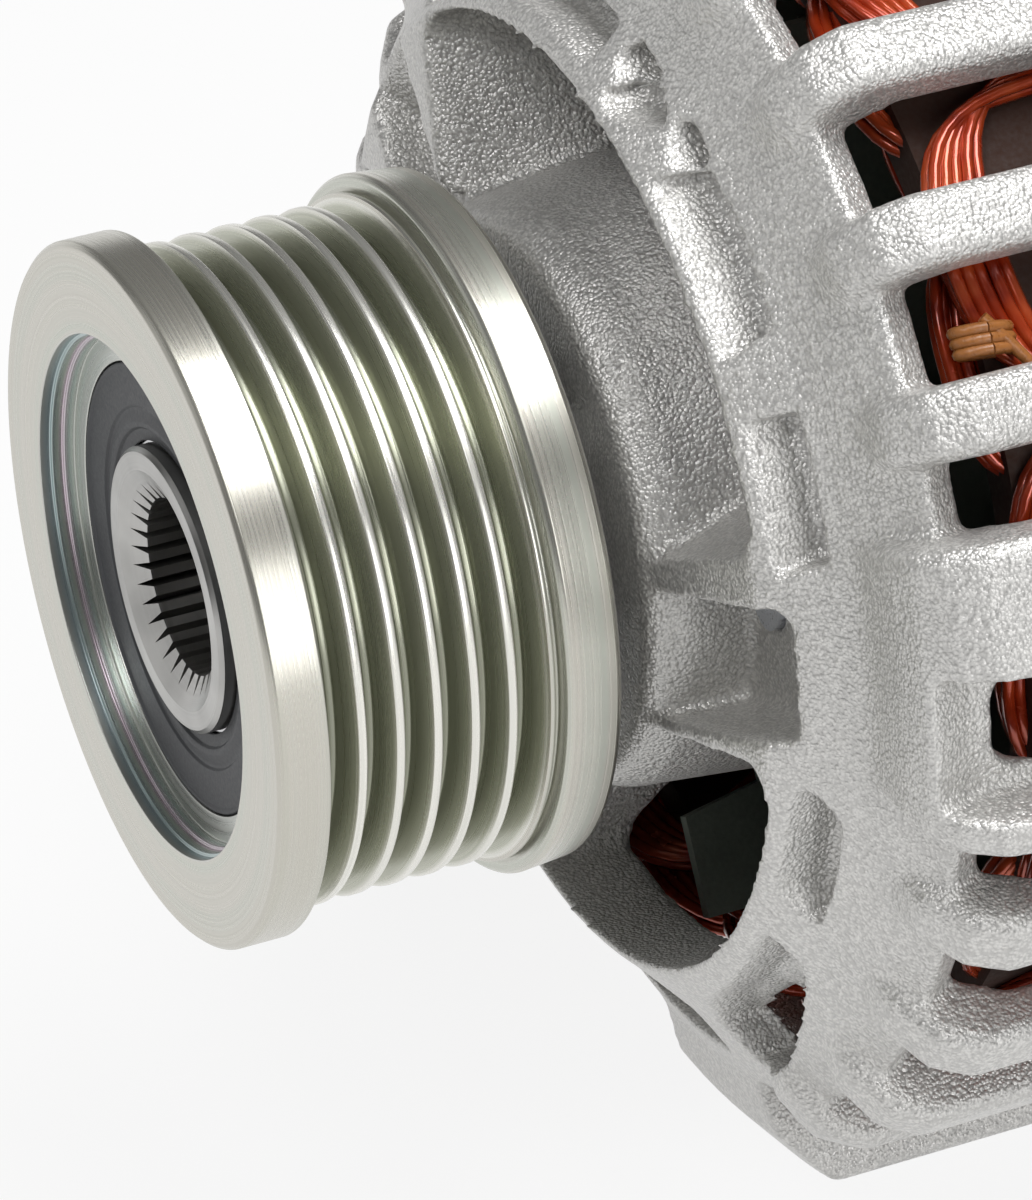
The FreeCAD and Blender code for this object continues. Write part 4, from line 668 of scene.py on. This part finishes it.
def pulley_outline():
    half = groove_bottom_width / 2 + groove_depth * groove_flank
    bottom = groove_crest_radius - groove_depth
    flange_y = first_groove_y - half - (flange_radius - groove_crest_radius) * groove_flank
    points = [(flange_radius - flange_chamfer, 0), (flange_radius, flange_chamfer), (flange_radius, flange_y)]
    for index in range(groove_count):
        centre = first_groove_y + index * groove_pitch
        if index > 0:
            points.append((groove_crest_radius, centre - half))
        points.append((bottom, centre - groove_bottom_width / 2))
        points.append((bottom, centre + groove_bottom_width / 2))
        if index < groove_count - 1:
            points.append((groove_crest_radius, centre + half))
    land = centre + half + shoulder_rise * groove_flank
    points += [(radius, land + y) for radius, y in in_mm(rear_shoulder)]
    points += [(radius, pulley_width - y) for radius, y in in_mm(rear_corner)]
    front_recess = in_mm(recess)
    rear_recess = [(radius, pulley_width - depth) for radius, depth in front_recess]
    return points + rear_recess + front_recess[::-1]


def pulley_seal(name, face, inwards):
    """A seal between pulley and hub, measured inwards from a face of the pulley."""
    outline = [(radius, face + inwards * depth) for radius, depth in in_mm(seal_profile)]
    placed(rounded_lathe(outline, seal_round), name, "pulley", "seal_rubber", "pulley_seals")


# Cooling fans

def blade(seat, direction, rises):
    """One upright blade, with its own height inside and outside its step."""
    foot = polar(blade_root_radius, first_blade, seat)
    along = polar(1, first_blade + blade_lean, 0)
    up = Vector((0, direction, 0))
    low_end, tall_start = blade_step_along
    outline = [foot, foot + up * rises[0], foot + along * low_end + up * rises[0],
               foot + along * tall_start + up * rises[1], foot + along * blade_length + up * rises[1],
               foot + along * blade_length]
    piece = drawn(outline)
    bpy.ops.mesh.edge_face_add()
    bpy.ops.mesh.extrude_region_move(TRANSFORM_OT_translate={"value": along.cross(up) * blade_thickness})
    closed()
    return piece


def fan(name, seat, direction, rises):
    plate = ring(fan_bore, fan_plate_radius, seat, direction * fan_plate_thickness)
    first = blade(seat, direction, rises)
    blades = [first] + [turned_copy(first, index * 360 / blade_count) for index in range(1, blade_count)]
    placed(joined([plate] + blades), name, "rotor", "fan_sheet", "cooling_fans")


# Stator winding

def wire_line(name, radius, resolution=1):
    line = bpy.data.curves.new(name, "CURVE")
    line.dimensions = "3D"
    line.bevel_depth = radius
    line.bevel_resolution = resolution
    line.resolution_u = 3
    line.use_fill_caps = True
    return line


def add_wire(line, points):
    spline = line.splines.new("NURBS")
    spline.points.add(len(points) - 1)
    spline.use_endpoint_u = True
    spline.order_u = 4
    for point, place in zip(spline.points, points):
        point.co = (*place, 1)


def as_mesh(line):
    piece = bpy.data.objects.new(line.name, line)
    bpy.context.scene.collection.objects.link(piece)
    alone(piece)
    bpy.ops.object.convert(target="MESH")
    bpy.ops.object.shade_smooth()
    return bpy.context.object


def end_turns(name, end_y, direction, seed, rows):
    """The end turns at one end: twisted bundles of wires from slot to slot, one coil pitch apart."""
    chance = random.Random(seed)
    line = wire_line(name, wire_radius)
    step = 360 / slot_count
    middle = (overhang_inner + overhang_outer) / 2
    reach = (overhang_outer - overhang_inner) / 2 - wire_radius
    for slot in range(slot_count):
        kind = slot % len(bundle_layers)
        layer = middle + reach * bundle_layers[kind]
        off_middle = abs(slot * step - lead_bulge_middle) / lead_bulge_width
        extra = lead_bulge * max(0.0, 1 - off_middle ** 2) if direction < 0 else 0.0
        highest = overhang_length + extra - wire_radius
        tall = overhang_length * bundle_heights[kind] + chance.uniform(-1, 1) * height_wander + extra
        start = slot * step - bundle_lead + chance.uniform(-bundle_wander, bundle_wander)
        twist = chance.choice((-1, 1)) * chance.uniform(least_twist, most_twist)
        for row in range(rows):
            for side in (-1, 1):
                across = side * wire_radius * wire_spacing + chance.uniform(-1, 1) * wire_wander
                along_bundle = (row - (rows - 1) / 2) * wire_radius * row_spacing
                points = []
                for along, rise in wire_course:
                    turn = twist * (along - 0.5)
                    depth = across * math.cos(turn) - along_bundle * math.sin(turn) * twist_flattening
                    height = along_bundle * math.cos(turn) + across * math.sin(turn)
                    lift = rise * tall if rise < 0 else min(rise * (tall + height), highest)
                    radius = layer + depth + chance.uniform(-1, 1) * radius_wander
                    radius = max(overhang_inner + wire_radius, min(overhang_outer - wire_radius, radius))
                    sideways = math.degrees(along_bundle / radius) * (1 - max(rise, 0)) * (1 - 2 * along)
                    angle = start + along * coil_pitch * step + sideways
                    points.append(polar(radius, angle, end_y + direction * lift))
                add_wire(line, points)
    placed(as_mesh(line), name, "housing", "enamelled_copper", "stator_winding")


def shaded_core_turns(name, end_y, direction):
    """The core of the end turns, as a near-black ring that is painted shade between and behind the outer
    wires.
    """
    piece = ring(overhang_inner + core_inset, overhang_outer - core_inset, end_y, direction * core_length)
    placed(piece, name, "housing", "moulded_resin", "stator_winding")


def lashing(name):
    """The varnished cord that ties the end turns, with its knot."""
    line = wire_line(name, lashing_radius, 2)
    radius, angle, y = lashing_place
    for index in range(lashing_turns):
        points = []
        for step in range(lashing_steps + 1):
            turn = 2 * math.pi * step / lashing_steps
            points.append(polar(radius + lashing_depth * math.cos(turn),
                                angle + (index - 1) * lashing_turn_angle + lashing_slant * math.sin(turn),
                                y + lashing_height * math.sin(turn)))
        add_wire(line, points)
    add_wire(line, [polar(radius + tail_radius, angle + along, y + back * mm) for along, back in tail_course])
    placed(as_mesh(line), name, "housing", "slot_insulation")


front_casting()
rear_casting()
placed(rounded_lathe(pulley_outline(), edge_round), "grooved_pulley", "pulley", "plated_pulley_steel",
       "pulley_ring")
pulley_seal("front_sealed_face", 0.0, 1)
pulley_seal("rear_sealed_face", pulley_width, -1)
fan("front_cooling_fan", fan_seat_front, -1, front_blade_rise)
fan("rear_cooling_fan", fan_seat_rear, 1, rear_blade_rise)
end_turns("front_end_turns", stator_front, -1, front_seed, front_rows)
end_turns("rear_end_turns", stator_rear, 1, rear_seed, rear_rows)
# Near-black rings inside the end turns, as painted shade between the wires
shaded_core_turns("front_inner_turns", stator_front, -1)
shaded_core_turns("rear_inner_turns", stator_rear, 1)
lashing("lashing_cord")


# Floor, light and camera

def floor():
    """A pale floor that the camera sees nearly white, whatever light falls on it."""
    bpy.ops.object.select_all(action="DESELECT")
    bpy.ops.mesh.primitive_plane_add(size=floor_size, location=(0, 0, cad_box[0].z - floor_gap))
    ground = bpy.context.object
    ground.name = "floor"
    finish = Finish("pale_floor", (0.82, 0.82, 0.82), roughness=0.9)
    paths = finish.add("LightPath")
    seen = finish.sum("MAXIMUM", paths.outputs["Is Camera Ray"], paths.outputs["Is Glossy Ray"])
    glow = finish.add("Emission", {"Color": (1.0, 1.0, 1.0), "Strength": 1.0})
    mix = finish.add("MixShader", {0: finish.sum("MULTIPLY", seen, floor_glow), 1: finish.shader.outputs[0],
                                   2: glow.outputs[0]})
    finish.put(finish.tree.nodes["Material Output"].inputs["Surface"], mix.outputs[0])
    ground.data.materials.append(finish.material)


def softbox(name, place, target, size, watts):
    lamp = bpy.data.lights.new(name, "AREA")
    lamp.shape = "RECTANGLE"
    lamp.size, lamp.size_y = size
    lamp.energy = watts
    holder = bpy.data.objects.new(name, lamp)
    bpy.context.scene.collection.objects.link(holder)
    holder.location = place
    holder.rotation_euler = (Vector(target) - Vector(place)).to_track_quat("-Z", "Y").to_euler()


def surroundings():
    """A white world, of which the object gets only a little light."""
    world = bpy.data.worlds.new("studio")
    world.use_nodes = True
    bpy.context.scene.world = world
    tree = world.node_tree
    paths = tree.nodes.new("ShaderNodeLightPath")
    strength = tree.nodes.new("ShaderNodeMapRange")
    tree.links.new(paths.outputs["Is Camera Ray"], strength.inputs["Value"])
    strength.inputs["To Min"].default_value = world_strength
    strength.inputs["To Max"].default_value = 1.0
    background = tree.nodes["Background"]
    background.inputs["Color"].default_value = (1, 1, 1, 1)
    tree.links.new(strength.outputs[0], background.inputs["Strength"])


def camera():
    eye = bpy.data.cameras.new("camera")
    eye.sensor_width = sensor_size
    eye.lens = focal_px / photo_height_px * sensor_size
    eye.clip_start = nearest_seen
    eye.clip_end = farthest_seen
    holder = bpy.data.objects.new("camera", eye)
    bpy.context.scene.collection.objects.link(holder)
    back = -camera_forward.normalized()
    right = camera_up.cross(back).normalized()
    up = back.cross(right)
    holder.matrix_world = Matrix.Translation(camera_place) @ Matrix((right, up, back)).transposed().to_4x4()
    bpy.context.scene.camera = holder


floor()
surroundings()
for lamp_values in lamps:
    softbox(*lamp_values)
camera()
bpy.context.scene.view_settings.view_transform = "Standard"
